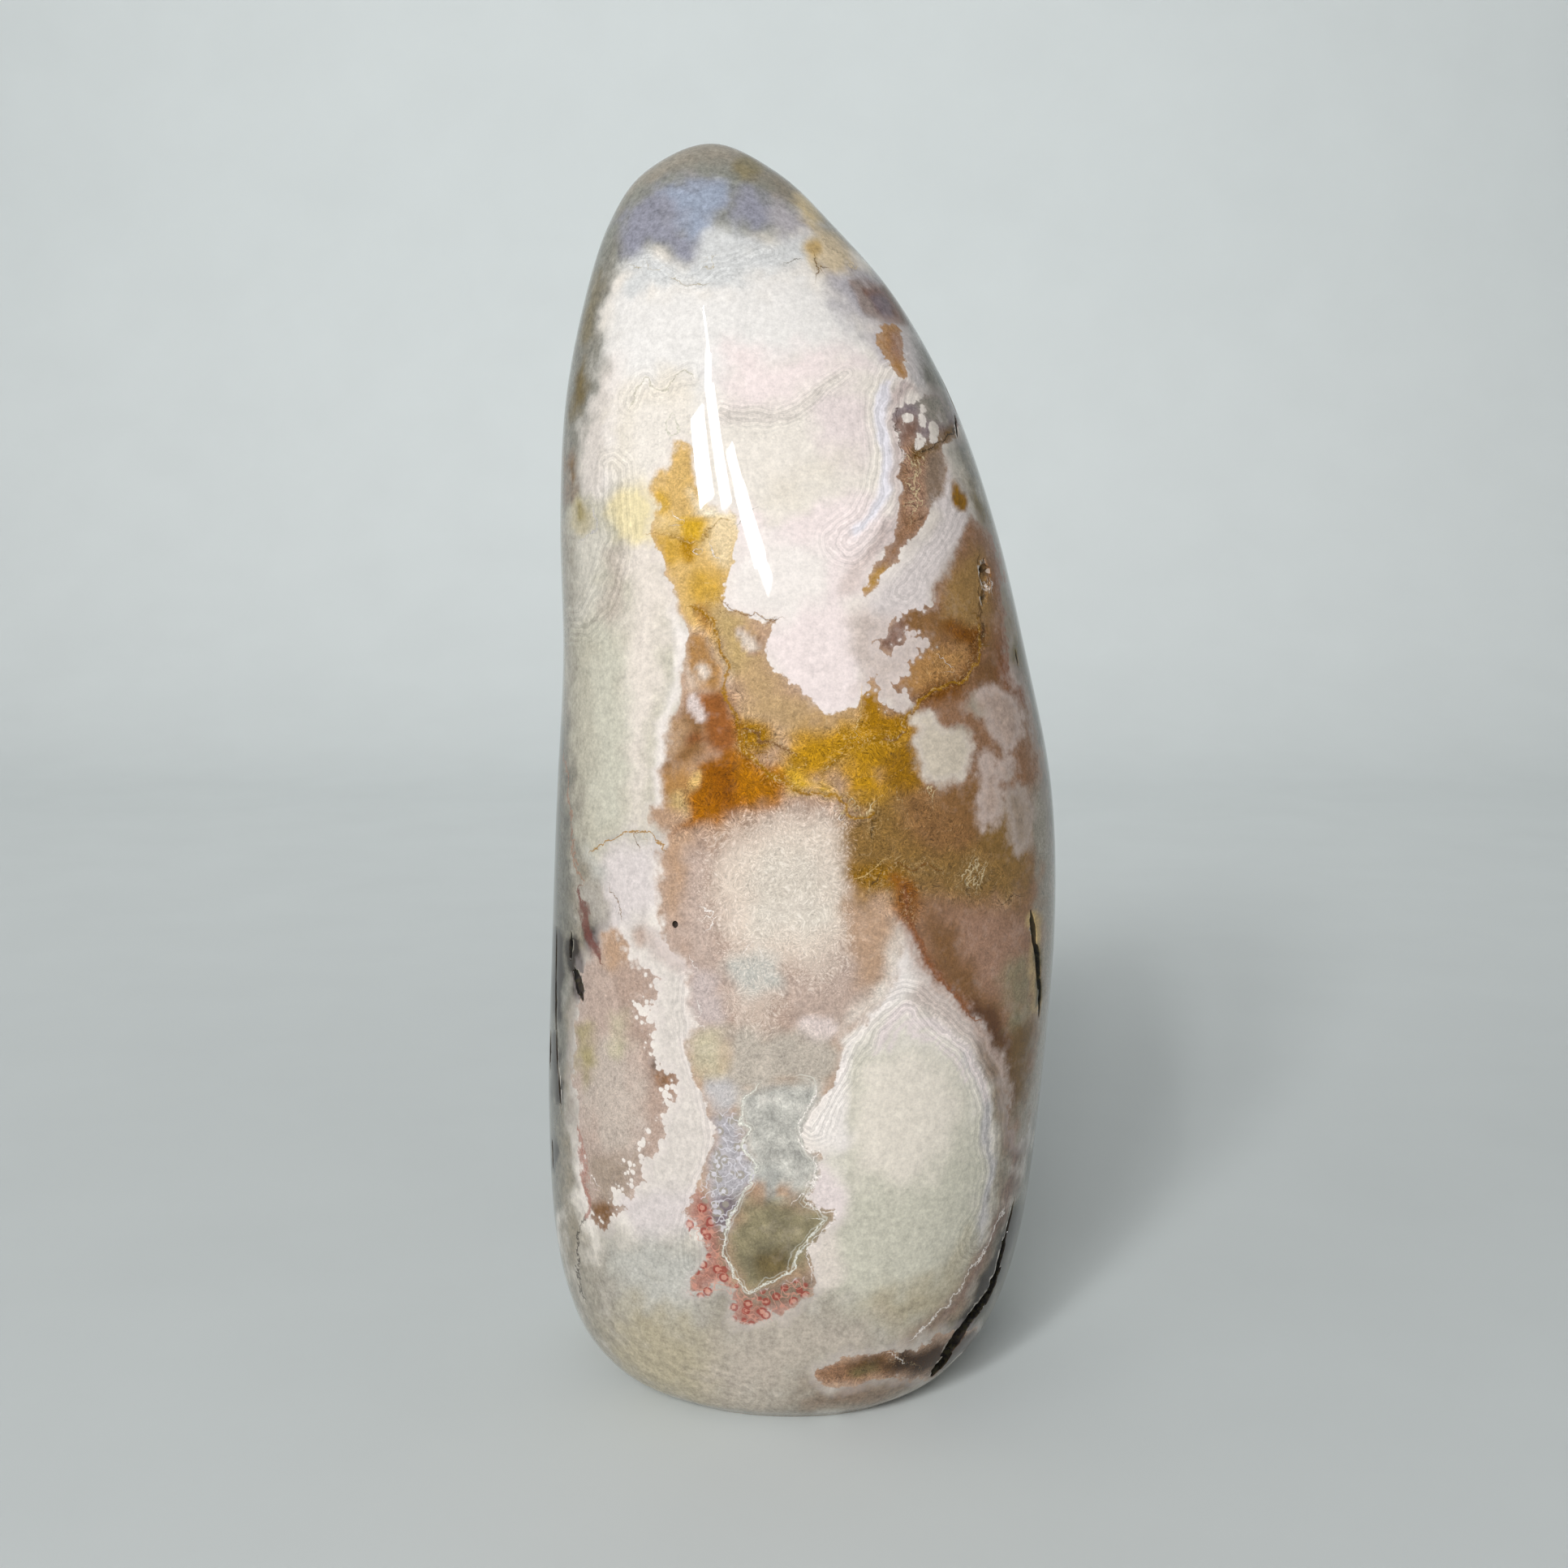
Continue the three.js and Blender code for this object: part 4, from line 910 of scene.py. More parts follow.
def lump(mesh, z, turn_degrees, long, wide, deep, lean):
    """One rough ball, laid on the surface, that is cut out of the stone."""
    turn = math.radians(turn_degrees)
    t = t_at(z)

    def beside(dt, da):
        return Vector(surface(t + dt, np.array([turn + da]))[0])

    up = (beside(NUDGE, 0) - beside(-NUDGE, 0)).normalized()
    right = (beside(0, NUDGE) - beside(0, -NUDGE)).normalized()
    out = right.cross(up).normalized()
    leaning = math.radians(lean)
    longways = up * math.cos(leaning) + right * math.sin(leaning)
    sideways = longways.cross(out).normalized()
    longways = out.cross(sideways)
    ball = bmesh.new()
    bmesh.ops.create_icosphere(ball, subdivisions=ROUND_LUMP if deep > 1 else SMALL_LUMP, radius=1)
    for vert in ball.verts:
        shape = Vector((vert.co.x * wide, vert.co.y * long, vert.co.z * deep))
        place = shape + Vector((z, turn_degrees, 0))
        rough = sum(share * noise.noise(place * per_mm) for per_mm, share in PIT_CRYSTALS)
        vert.co = shape * (1 + PIT_ROUGHNESS * rough)
    lie = Matrix((sideways, longways, out)).transposed().to_4x4()
    lie.translation = beside(0, 0)
    ball.transform(Matrix.Scale(MM, 4) @ lie)
    ball.to_mesh(mesh)
    ball.free()


def cut_pits(stone):
    """Cuts every lump of every pit out of the stone."""
    lumps = bpy.data.collections.new("pit_lumps")
    for name, rows in PITS.items():
        for number, row in enumerate(rows):
            mesh = bpy.data.meshes.new(f"{name}_{number}")
            lump(mesh, *row)
            lumps.objects.link(bpy.data.objects.new(mesh.name, mesh))
    bpy.context.scene.collection.children.link(lumps)
    cut = stone.modifiers.new("pits", "BOOLEAN")
    cut.operation = "DIFFERENCE"
    cut.operand_type = "COLLECTION"
    cut.collection = lumps
    cut.solver = "MANIFOLD"
    graph = bpy.context.evaluated_depsgraph_get()
    mesh = bpy.data.meshes.new_from_object(stone.evaluated_get(graph))
    stone.modifiers.clear()
    stone.data = mesh
    mesh.materials.clear()
    for piece in list(lumps.objects):
        bpy.data.objects.remove(piece)
    bpy.data.collections.remove(lumps)


# The drawing sheet

def sight():
    """The camera's place in mm, and its forward and up directions."""
    forward = np.array([0, math.cos(CAMERA_PITCH), -math.sin(CAMERA_PITCH)])
    up = np.array([0, math.sin(CAMERA_PITCH), math.cos(CAMERA_PITCH)])
    return np.array(SHEET_MIDDLE) - forward * CAMERA_AWAY, forward, up


def on_sheet(points):
    """Where the camera sees points in mm on the drawing sheet, in mm from its top left corner."""
    eye, forward, up = sight()
    offset = points - eye
    grow = CAMERA_AWAY / (offset @ forward)
    return np.stack([SHEET_SIDE / 2 + offset[:, 0] * grow, SHEET_SIDE / 2 - offset @ up * grow], -1)


def sway(points, size, seed):
    """Smooth random offsets across and down for points in mm, that change over a size in mm."""
    across = Vector([step * seed for step in SEED_STEP])
    down = across + Vector(SWAY_APART)
    places = [Vector(p) / size for p in points.tolist()]
    return np.array([(noise.noise(p + across), noise.noise(p + down)) for p in places])


def swayed(points, swings):
    """The sum of several swings, each with its own size, reach and seed."""
    return sum(reach * sway(points, size, seed) for size, reach, seed in swings)


def behind_sheet(points, turn):
    """Where on the sheet the hidden side takes its markings: it is carried on round the back, drifting."""
    middle_x, _, half_x, half_y = section_at(points[:, 2])
    arc = (math.pi - np.abs(turn)) * (half_x + half_y) / 2 * BEHIND_SCALE
    unrolled = np.stack([middle_x + np.sign(turn) * arc, 0 * arc, points[:, 2]], -1)
    place = on_sheet(unrolled)
    place[:, 1] -= BEHIND_LIFT * np.sin(np.clip(points[:, 2] / STATIONS[-1][0], 0, 1) * math.pi)
    return place + swayed(points, BEHIND_SWAY)


def drawn(text, closed):
    """A smooth curve through an outline's or line's points, in mm on the sheet."""
    points = np.array([pair.split(",") for pair in text.split()], float) * SHEET_RULING
    spans = len(points) if closed else len(points) - 1
    if not closed:
        return catmull_rom(points, np.linspace(0, spans, LINE_STEPS * spans + 1))
    around = np.vstack([points[-1:], points, points[:2]])
    return catmull_rom(around, np.linspace(1, spans + 1, OUTLINE_STEPS * spans + 1))


def near_curve(places, curve):
    """Which places are near a curve, their distance from it, their side, and whether it goes round them."""
    low, high = curve.min(0) - FAR, curve.max(0) + FAR
    chosen = np.flatnonzero(((places > low) & (places < high)).all(1))
    x, y = places[chosen].T
    distance = np.full(len(chosen), FAR)
    side = np.ones(len(chosen))
    inside = np.zeros(len(chosen), bool)
    for (ax, ay), (bx, by) in zip(curve[:-1], curve[1:]):
        dx, dy = bx - ax, by - ay
        along = np.clip(((x - ax) * dx + (y - ay) * dy) / (dx * dx + dy * dy + TINY), 0, 1)
        off_x, off_y = x - ax - along * dx, y - ay - along * dy
        away = np.hypot(off_x, off_y)
        closer = away < distance
        distance[closer] = away[closer]
        side[closer] = np.sign(dx * off_y - dy * off_x)[closer]
        if dy:
            inside ^= ((ay > y) != (by > y)) & (x < ax + dx * (y - ay) / dy)
    return chosen, distance, side, inside


def depth_inside(places, outlines):
    """How far inside the nearest outline each place lies, in mm, and less than nothing outside."""
    depth = np.full(len(places), -FAR)
    for text in outlines:
        chosen, distance, _, inside = near_curve(places, drawn(text, True))
        depth[chosen] = np.maximum(depth[chosen], np.where(inside, distance, -distance))
    return depth


def smooth(value, low, high):
    """Nothing below low, one above high, smooth between."""
    t = np.clip((value - low) / (high - low), 0, 1)
    return t * t * (3 - 2 * t)


def linear(rgb):
    """A screen colour, 0 to 255, as a linear one."""
    parts = [value / 255 for value in rgb]
    return [p / 12.92 if p <= 0.04045 else ((p + 0.055) / 1.055) ** 2.4 for p in parts]


def washed(places, ragged, ground, washes):
    """The ground colour with the washes laid over it, their soft edges broken up by the ragged numbers."""
    colour = np.tile(linear(ground), (len(places), 1))
    for wash, soft, text in washes:
        chosen, distance, _, inside = near_curve(places, drawn(text, True))
        depth = np.where(inside, distance, -distance) + ragged[chosen] * soft
        cover = smooth(depth, -soft, soft)[:, None]
        colour[chosen] += (np.array(linear(wash)) - colour[chosen]) * cover
    return colour


def vein_lines(places):
    """For each place its signed distance from the nearest vein, that vein's half width and its colour."""
    side = np.full(len(places), FAR)
    width = np.zeros(len(places))
    colour = np.zeros((len(places), 3))
    for vein, half_width, text in VEINS:
        chosen, distance, hand, _ = near_curve(places, drawn(text, False))
        better = distance < np.abs(side[chosen])
        chosen, distance, hand = chosen[better], distance[better], hand[better]
        side[chosen] = distance * hand
        whole, gone = (half_width + reach for reach in VEIN_REACH)
        width[chosen] = half_width * (1 - smooth(distance, whole, gone))
        colour[chosen] = linear(vein)
    return side, width, colour


def banding(places):
    """For each place its distance from the line its bands follow, in bands, and how strong they are there."""
    phase = np.zeros(len(places))
    strength = np.zeros(len(places))
    for spacing, reach, most, text in BANDS:
        chosen, distance, _, _ = near_curve(places, drawn(text, False))
        here = most * (1 - smooth(distance, BAND_CORE * reach, reach))
        better = here > strength[chosen]
        phase[chosen[better]] = distance[better] / spacing
        strength[chosen[better]] = here[better]
    return phase, strength


def marks_at(places, ragged):
    """Every marking's field at places on the sheet."""
    marks = {name: depth_inside(places, outlines) for name, outlines in AREAS.items()}
    grown = np.minimum(depth_inside(places, GROWTHS), -depth_inside(places, WINDOWS))
    marks["chalky"] = np.maximum(-depth_inside(places, CLEAR_GROUND), grown)
    marks["vein_side"], marks["vein_width"], marks["vein_colour"] = vein_lines(places)
    marks["band_phase"], marks["band_strength"] = banding(places)
    marks["chalky_colour"] = washed(places, ragged, CREAM, CHALKY_WASHES)
    marks["clear_colour"] = washed(places, ragged, ROSE_TAN, CLEAR_WASHES)
    return marks


def store(mesh, name, values):
    """Keeps a number or a colour for each point of a mesh, under a name that the shader looks up."""
    if values.ndim == 1:
        layer = mesh.attributes.new(name, "FLOAT", "POINT")
        layer.data.foreach_set("value", values.astype(np.float32))
    else:
        layer = mesh.attributes.new(name, "FLOAT_COLOR", "POINT")
        colours = np.hstack([values, np.ones((len(values), 1))]).astype(np.float32)
        layer.data.foreach_set("color", colours.ravel())


def rows_of(mesh, name):
    """The places or the normals of a mesh's points, a row for each."""
    values = np.empty(len(mesh.vertices) * 3)
    mesh.vertices.foreach_get(name, values)
    return values.reshape(-1, 3)


def hidden_share(points, normals):
    """Nothing where the camera sees a point, and one where it can't and on the foot."""
    eye, _, _ = sight()
    to_eye = eye - points
    to_eye /= np.linalg.norm(to_eye, axis=1, keepdims=True)
    facing = (normals * to_eye).sum(1)
    hidden = smooth(swayed(points, HIDDEN_WANDER)[:, 0] - facing, *HIDDEN_FADE)
    hidden[points[:, 2] < FOOT_HEIGHT] = 1
    return hidden


def carried_round(name, front, behind, hidden):
    """A marking's values as they pass from the shown side to the hidden one."""
    share = hidden if front.ndim == 1 else hidden[:, None]
    if name == "vein_width":
        return np.where(hidden < 0.5, front * (1 - 2 * hidden), behind * (2 * hidden - 1))
    if name.startswith("vein"):
        return np.where(share < 0.5, front, behind)
    return front + (behind - front) * share


def draw_markings(mesh):
    """Gives every point its markings: as drawn where the camera sees it, and carried on round the stone."""
    points = rows_of(mesh, "co") / MM
    under, turn = place_in_section(points)
    hidden = hidden_share(points, rows_of(mesh, "normal"))
    swaying = swayed(points, EDGE_SWAY)
    ragged = swayed(points, WASH_FRAY)[:, 0]
    front = marks_at(on_sheet(points) + swaying, ragged)
    behind = marks_at(behind_sheet(points, turn) + swaying, ragged)
    for name, values in front.items():
        store(mesh, name, carried_round(name, values, behind[name], hidden))
    under[points[:, 2] < FOOT_HEIGHT] = 0
    store(mesh, "pit_depth", np.maximum(under, 0))


def build_stone():
    """The stone's polished skin, with its pits and its markings."""
    stone = add_object("agate_stone", polished_mesh())
    cut_pits(stone)
    stone.data.shade_smooth()
    stone.data.set_sharp_from_angle(angle=SHARP_ANGLE)
    draw_markings(stone.data)
    return stone


# The shader

class Value:
    """An output of a shader node. Python maths on it adds Math nodes, and node() adds any other kind."""

    def __init__(self, tree, socket=None):
        self.tree = tree
        self.socket = socket

    def node(self, kind, settings, inputs, output=0):
        """A new node with its settings, and with a link or a value for each of its inputs."""
        node = self.tree.nodes.new(kind)
        for name, setting in settings.items():
            setattr(node, name, setting)
        for key, value in inputs.items():
            if isinstance(value, Value):
                self.tree.links.new(value.socket, node.inputs[key])
            else:
                node.inputs[key].default_value = value
        return Value(self.tree, node.outputs[output] if node.outputs else None)

    def math(self, operation, *values):
        return self.node("ShaderNodeMath", {"operation": operation}, dict(enumerate(values)))

    def __add__(self, other):
        return self.math("ADD", self, other)

    def __radd__(self, other):
        return self.math("ADD", other, self)

    def __sub__(self, other):
        return self.math("SUBTRACT", self, other)

    def __rsub__(self, other):
        return self.math("SUBTRACT", other, self)

    def __mul__(self, other):
        return self.math("MULTIPLY", self, other)

    def __rmul__(self, other):
        return self.math("MULTIPLY", other, self)

    def __truediv__(self, other):
        return self.math("DIVIDE", self, other)

    def __abs__(self):
        return self.math("ABSOLUTE", self)

    def step(self, low, high):
        """Nothing below low, one above high, smooth between."""
        settings = {"interpolation_type": "SMOOTHSTEP"}
        return self.node("ShaderNodeMapRange", settings, {"Value": self, "From Min": low, "From Max": high})

    def field(self, name, output="Fac"):
        """A marking's number, or with the output Color its colour."""
        return self.node("ShaderNodeAttribute", {"attribute_name": name}, {}, output)

    def blended(self, first, second, share):
        """The first colour with a share of the second mixed in."""
        return self.node("ShaderNodeMix", {"data_type": "RGBA"}, {0: share, 6: first, 7: second}, 2)

    def mixed(self, other, share):
        """This colour with a share of another mixed in."""
        return self.blended(self, other, share)

    def scaled(self, amount):
        """This colour or vector times an amount."""
        return self.node("ShaderNodeVectorMath", {"operation": "SCALE"}, {0: self, "Scale": amount})


def rgba(rgb):
    """A screen colour as a shader takes it."""
    return (*linear(rgb), 1)


def blank_material(name):
    """A new material without nodes, and where its expressions start from."""
    material = bpy.data.materials.new(name)
    material.use_nodes = True
    material.node_tree.nodes.clear()
    return material, Value(material.node_tree)


def cloud(place, per_mm, detail=2, rough=0.5):
    """Noise about one half, with its size given in swings per mm."""
    inputs = {"Vector": place, "Scale": per_mm, "Detail": detail, "Roughness": rough}
    return place.node("ShaderNodeTexNoise", {}, inputs)


def cells(place, per_mm, output="Distance"):
    """Round grains: how far the nearest one's middle is, or by the output that middle or its own colour."""
    return place.node("ShaderNodeTexVoronoi", {}, {"Vector": place, "Scale": per_mm}, output)


def tufts(place, per_mm, streaks):
    """Needles that spread from the middle of each cell, as in a tuft of crystals."""
    middle = cells(place, per_mm, "Position")
    outward = place.node("ShaderNodeVectorMath", {"operation": "SUBTRACT"}, {0: place, 1: middle})
    outward = outward.node("ShaderNodeVectorMath", {"operation": "NORMALIZE"}, {0: outward}).scaled(streaks)
    needle = outward.node("ShaderNodeVectorMath", {"operation": "ADD"}, {0: outward, 1: middle})
    return cloud(needle, 1, 2)


# Noise in the stone: swings per mm, octaves and how rough they are.
CLOUDS = {
    "broad": (0.16, 2, 0.5),
    "drift": (0.35, 3, 0.55),
    "middling": (0.75, 3, 0.6),
    "flecks": (1.3, 2, 0.6),
    "fine": (2.2, 2, 0.65),
    "grain": (4.5, 1, 0.5),
    "curls": (0.9, 1, 0.5),
    "moss": (2.2, 3, 0.5),
}
# Round grains in the stone, in grains per mm, and flat-faced crystals, in crystals per mm.
GRAINS = {"lobes": 0.62, "granules": 1.3, "rings": 0.75, "lumps": 0.55, "specks": 0.7}
CRYSTALS_PER_MM = 1.1
SPAR_PER_MM = 1.8
# Tufts of needles: tufts per mm, and how closely the needles stand.
TUFTS = {"needles": (0.26, 9), "small_needles": (0.55, 8)}
BEND_PER_MM = 0.4
BEND_MM = 2  # how far the needles and crystals are bent off their straight lines

# How much each noise lightens and darkens a colour.
CHALKY_MOTTLE = {
    "drift": 0.1, "middling": 0.36, "flecks": 0.32, "fine": 0.5, "grain": 0.28,
    "granules": -0.1, "lobes": -0.04,
}
CLEAR_MOTTLE = {"drift": 0.3, "middling": 0.3, "flecks": 0.4, "fine": 0.55, "grain": 0.5}
NEEDLE_MOTTLE = {"needles": 0.6, "small_needles": 0.6}
# How far each noise moves an edge or a line, in mm.
CHALKY_FRAY = {"lobes": -0.9, "middling": 0.5, "fine": 0.4, "grain": 0.3}
STAIN_FRAY = {"middling": 2}
SUGAR_FRAY = {"needles": 2, "small_needles": 1, "middling": 1}
RING_FRAY = {"middling": 1.2}
RED_FRAY = {"middling": 1.5}
VEIN_FRAY = {"middling": 1.4, "fine": 0.6}
POCKET_FRAY = {"lumps": -0.9, "fine": 0.3}
BAND_FRAY = {"middling": 0.9, "broad": 2}  # in bands

# How softly each drawn area sets in, in mm to either side of its outline.
SOFTNESS = {
    "grainy": 0.6, "fuzzy": 0.8, "glassy": 0.8, "lacy": 1, "laced": 0.8, "lined": 0.3, "stained": 0.8,
    "red_ringed": 0.4,
}

RIM_MM = (0.3, 1.6)  # a growth's pinker rim is whole as deep as the first, and gone at the second
VEIL_MM = (-1.1, 0.1)  # the quartz turns milky this near to a growth's edge
SEAM_MM = 1.6  # blond crystals grow this far beside a vein
BAND_SWING = 0.14  # how much the broad bands lighten and darken a growth
THIN_BAND_SWING = 0.085
THIN_PER_BAND = 2.7
VEIN_SHADOW_BORDER = 2.6  # how many times as wide as the vein its dark border of painted shadow is
LEAST_WIDTH = 0.001  # mm, in place of no width, which nothing can be divided by

POLISH = 0.034  # roughness of the polished face
POLISH_SWING = 0.02
PIT_DULLNESS = 0.8
FOOT_DULLNESS = 0.45
QUARTZ_IOR = 1.46
PIT_LIP = (0.04, 0.14)  # how far under the polish, in mm, a pit's colour sets in and is whole
DOWNWARD = (0.9, 0.96)  # how straight down a face looks where the saw marks set in and are whole
PIT_BUMP = {"Strength": 0.5, "Distance": 0.0003}


def stone_noises(start):
    """Every noise that breaks up the drawn markings, by its name."""
    place = start.node("ShaderNodeTexCoord", {}, {}, "Object").scaled(1 / MM)
    bend = place.node("ShaderNodeTexNoise", {}, {"Vector": place, "Scale": BEND_PER_MM}, "Color")
    bent = place.node("ShaderNodeVectorMath", {"operation": "ADD"}, {0: place, 1: bend.scaled(BEND_MM)})
    noises = {name: cloud(place, *setting) for name, setting in CLOUDS.items()}
    noises |= {name: cells(place, per_mm) for name, per_mm in GRAINS.items()}
    noises |= {name: tufts(bent, *setting) for name, setting in TUFTS.items()}
    noises["crystals"] = cells(bent, CRYSTALS_PER_MM, "Color")
    noises["spar"] = cells(place, SPAR_PER_MM, "Color")
    return noises


def swings(noises, shares):
    """The sum of the named noises, each about nothing and times its share."""
    return sum((noises[name] - 0.5) * share for name, share in shares.items())


def area(start, name, fray=0):
    """One inside a drawn area and nothing outside it, with its outline moved by a fray in mm."""
    return (start.field(name) + fray).step(-SOFTNESS[name], SOFTNESS[name])


def line_at(value, middle, core, fade):
    """One where a value is within the core's width of the middle, and nothing where it is past the fade."""
    return 1 - abs(value - middle).step(core, fade)


def chalky_growths(start, noises, edge):
    """The white, green-white and rosy growths: mottled, with tiny ringlets, a pinker rim and fine banding."""
    ringlets = line_at(noises["granules"], 0.36, 0.05, 0.14) * area(start, "lacy")
    colour = start.field("chalky_colour", "Color")
    darker_is_rougher = 2.1 - colour * 1.8  # maths on a colour takes its grey
    colour = colour.scaled(1 + swings(noises, CHALKY_MOTTLE) * darker_is_rougher - ringlets * 0.08)
    rim = 1 - edge.step(*RIM_MM)
    colour = colour.mixed(rgba(PINK_WHITE), rim * 0.22)
    strength = start.field("band_strength")
    phase = (start.field("band_phase") + swings(noises, BAND_FRAY)) * (2 * math.pi)
    broad_bands = phase.math("SINE", phase) * strength
    thin_bands = phase.math("SINE", phase * THIN_PER_BAND + noises["fine"] * 3) * strength
    return colour.scaled(1 + broad_bands * BAND_SWING + thin_bands * THIN_BAND_SWING)


def needled_quartz(start, noises, sugary, stained):
    """The bare quartz: mottled, with crystal faces, and bright and dark needles where iron has stained it."""
    needled = stained * (1 - area(start, "glassy"))
    faces = (noises["crystals"] - 0.5) * (needled * 0.16 + 0.12)
    colour = start.field("clear_colour", "Color").scaled(1 + swings(noises, CLEAR_MOTTLE) + faces)
    glint = noises["needles"].step(0.53, 0.62) * 0.6 + noises["small_needles"].step(0.55, 0.66) * 0.4
    gloom = 1 - noises["small_needles"].step(0.36, 0.46)
    tufted = (glint * 0.45 - gloom * 0.32) * (needled * 0.9 + sugary * 0.5 + 0.1)
    return colour.scaled(1 + swings(noises, NEEDLE_MOTTLE) * (0.9 + sugary * 0.7) + tufted)


def clear_quartz(start, noises, edge, stained, from_vein):
    """The amber, gold, brown and rosy quartz, with clouds, blond crystals by the veins and sugary fluff."""
    sugary = (start.field("sugary") * 0.35 + swings(noises, SUGAR_FRAY)).step(-0.5, 0.6)
    colour = needled_quartz(start, noises, sugary, stained)
    cloudy = (noises["drift"] * 0.5 + noises["middling"] * 0.5).step(0.5, 0.64) * (1 - stained * 0.8)
    colour = colour.mixed(rgba(ROSE_WHITE), cloudy * 0.12)
    by_seam = (1 - from_vein / SEAM_MM).step(0, 1) * stained
    blond = (noises["small_needles"] * 0.6 + noises["fine"] * 0.4).step(0.52, 0.6)
    colour = colour.mixed(rgba(BLOND), by_seam * blond * 0.32)
    colour = colour.mixed(rgba(SUGAR), sugary * 0.45)
    specks = 1 - noises["specks"].step(0.05, 0.16)
    colour = colour.scaled(1 - specks * sugary * 0.25)
    hairs = swings(noises, NEEDLE_MOTTLE).step(0.05, 0.16)
    colour = colour.mixed(rgba(CHALK), hairs * sugary * 0.35)
    veil = (edge + noises["fine"] - 0.5).step(*VEIL_MM)
    return colour.mixed(rgba(ROSE_WHITE), veil * (0.25 - stained * 0.17))


def ringed_walls(start, noises, colour):
    """Little rings and curls round the pocket: grey above, red at its foot."""
    ringed = (start.field("ringed") + swings(noises, RING_FRAY)).step(-0.2, 0.3)
    red = area(start, "red_ringed", swings(noises, RED_FRAY))
    ring_colour = start.blended(rgba(GREY), rgba(RING_RED), red)
    core_colour = start.blended(rgba(LAVENDER_WHITE), rgba(RING_PEACH), red)
    cores = 1 - noises["rings"].step(0.2, 0.32)
    colour = colour.mixed(core_colour, cores * ringed * 0.6)
    colour = colour.mixed(ring_colour, line_at(noises["rings"], 0.34, 0.05, 0.13) * ringed * 0.75)
    return colour.mixed(core_colour, line_at(noises["curls"], 0.5, 0.01, 0.035) * ringed * 0.6)


def glassy_pocket(start, noises, colour):
    """The pocket: dark between glassy lumps, with two pale lines of lace along its wall."""
    scallops = start.field("pocket") + swings(noises, POCKET_FRAY)
    colour = colour.scaled(1 + (0.45 - noises["lumps"]) * 0.55 * scallops.step(0, 0.5))
    lace = line_at(scallops, 0, 0.04, 0.13) * 0.8 + line_at(scallops, 0.42, 0.03, 0.1) * 0.5
    return colour.mixed(rgba(GREEN_WHITE), lace * area(start, "laced") * 0.6)


def veined(start, noises, colour, stained, from_vein):
    """The fine veins, flecked, with a dark border of painted shadow beside them where iron has stained the
    quartz.
    """
    half_width = start.field("vein_width")
    vein = (1 - from_vein / (half_width * (0.6 + noises["fine"] * 0.8) + LEAST_WIDTH)).step(-0.3, 0.8)
    # painted shadow: the quartz is darkened in a border beside each vein where it is stained
    beside = (1 - from_vein / (half_width * VEIN_SHADOW_BORDER + LEAST_WIDTH)).step(0, 0.4) * stained
    colour = colour.scaled(1 - beside * 0.15)
    flecked = start.field("vein_colour", "Color")
    flecked = flecked.scaled(1 + (noises["fine"] - 0.5) * 2 * stained + (noises["grain"] - 0.5) * 1.5)
    blond = (noises["fine"] * 0.5 + noises["grain"] * 0.5).step(0.54, 0.62)
    flecked = flecked.mixed(rgba(BLOND), blond * stained * 0.6)
    return colour.mixed(flecked, vein * 0.8)


def pitted(start, noises, colour, pit):
    """The open pits: dark and mossy inside, and lined with olive crystals in the vug, some of them with
    painted glints.
    """
    inside = colour.scaled(0.1).mixed(rgba(MOSS), noises["moss"].step(0.45, 0.65) * 0.6)
    spar = colour.scaled(0.35 + noises["spar"] * 1.2)
    # painted glints: a few of the vug's crystal faces are turned pale
    spar = spar.mixed(rgba(PEARL), noises["spar"].step(0.7, 0.76) * 0.6)
    return colour.mixed(inside.mixed(spar, area(start, "lined") * 0.9), pit)


def agate():
    """The polished stone: clear, coloured quartz with chalky growths over it."""
    material, start = blank_material("flower_agate")
    noises = stone_noises(start)
    granular = (0.5 - noises["granules"]) * (area(start, "grainy") * 1.4 + 0.5)
    edge = start.field("chalky") + swings(noises, CHALKY_FRAY) + granular
    chalky = (edge / (1 + area(start, "fuzzy") * 4)).step(-0.12, 0.14)
    stained = area(start, "stained", swings(noises, STAIN_FRAY))
    from_vein = abs(start.field("vein_side") + swings(noises, VEIN_FRAY))
    pit = start.field("pit_depth").step(*PIT_LIP)

    colour = clear_quartz(start, noises, edge, stained, from_vein)
    colour = colour.mixed(chalky_growths(start, noises, edge), chalky)
    colour = ringed_walls(start, noises, colour)
    colour = glassy_pocket(start, noises, colour)
    colour = veined(start, noises, colour, stained, from_vein)
    colour = pitted(start, noises, colour, pit)

    normal = start.node("ShaderNodeNewGeometry", {}, {}, "Normal")
    sawn = (0 - start.node("ShaderNodeSeparateXYZ", {}, {0: normal}, "Z")).step(*DOWNWARD)
    polish = POLISH + (noises["middling"] - 0.5) * POLISH_SWING
    shader = start.node("ShaderNodeBsdfPrincipled", {}, {
        "Base Color": colour,
        "Roughness": polish + pit * PIT_DULLNESS + sawn * FOOT_DULLNESS,
        "IOR": QUARTZ_IOR,
        "Normal": start.node("ShaderNodeBump", {}, PIT_BUMP | {"Height": noises["fine"] * pit}),
    })
    start.node("ShaderNodeOutputMaterial", {}, {"Surface": shader})
    return material


# Studio

# The sweep of paper, in m, its colour, how much that varies, and the weak light from all round.
SWEEP_HALF_WIDTH = 1.6
SWEEP_FRONT = -1.4
SWEEP_BACK = 0.75
SWEEP_BEND = 0.25
SWEEP_TOP = 1.5
BEND_STEPS = 12
PAPER = (218, 224, 224)
PAPER_SWING = 0.015
PAPER_MOTTLE_PER_MM = 0.03
PAPER_ROUGHNESS = 0.75
WORLD_LIGHT = (1.0, 0.99, 0.98, 1)
WORLD_STRENGTH = 0.22

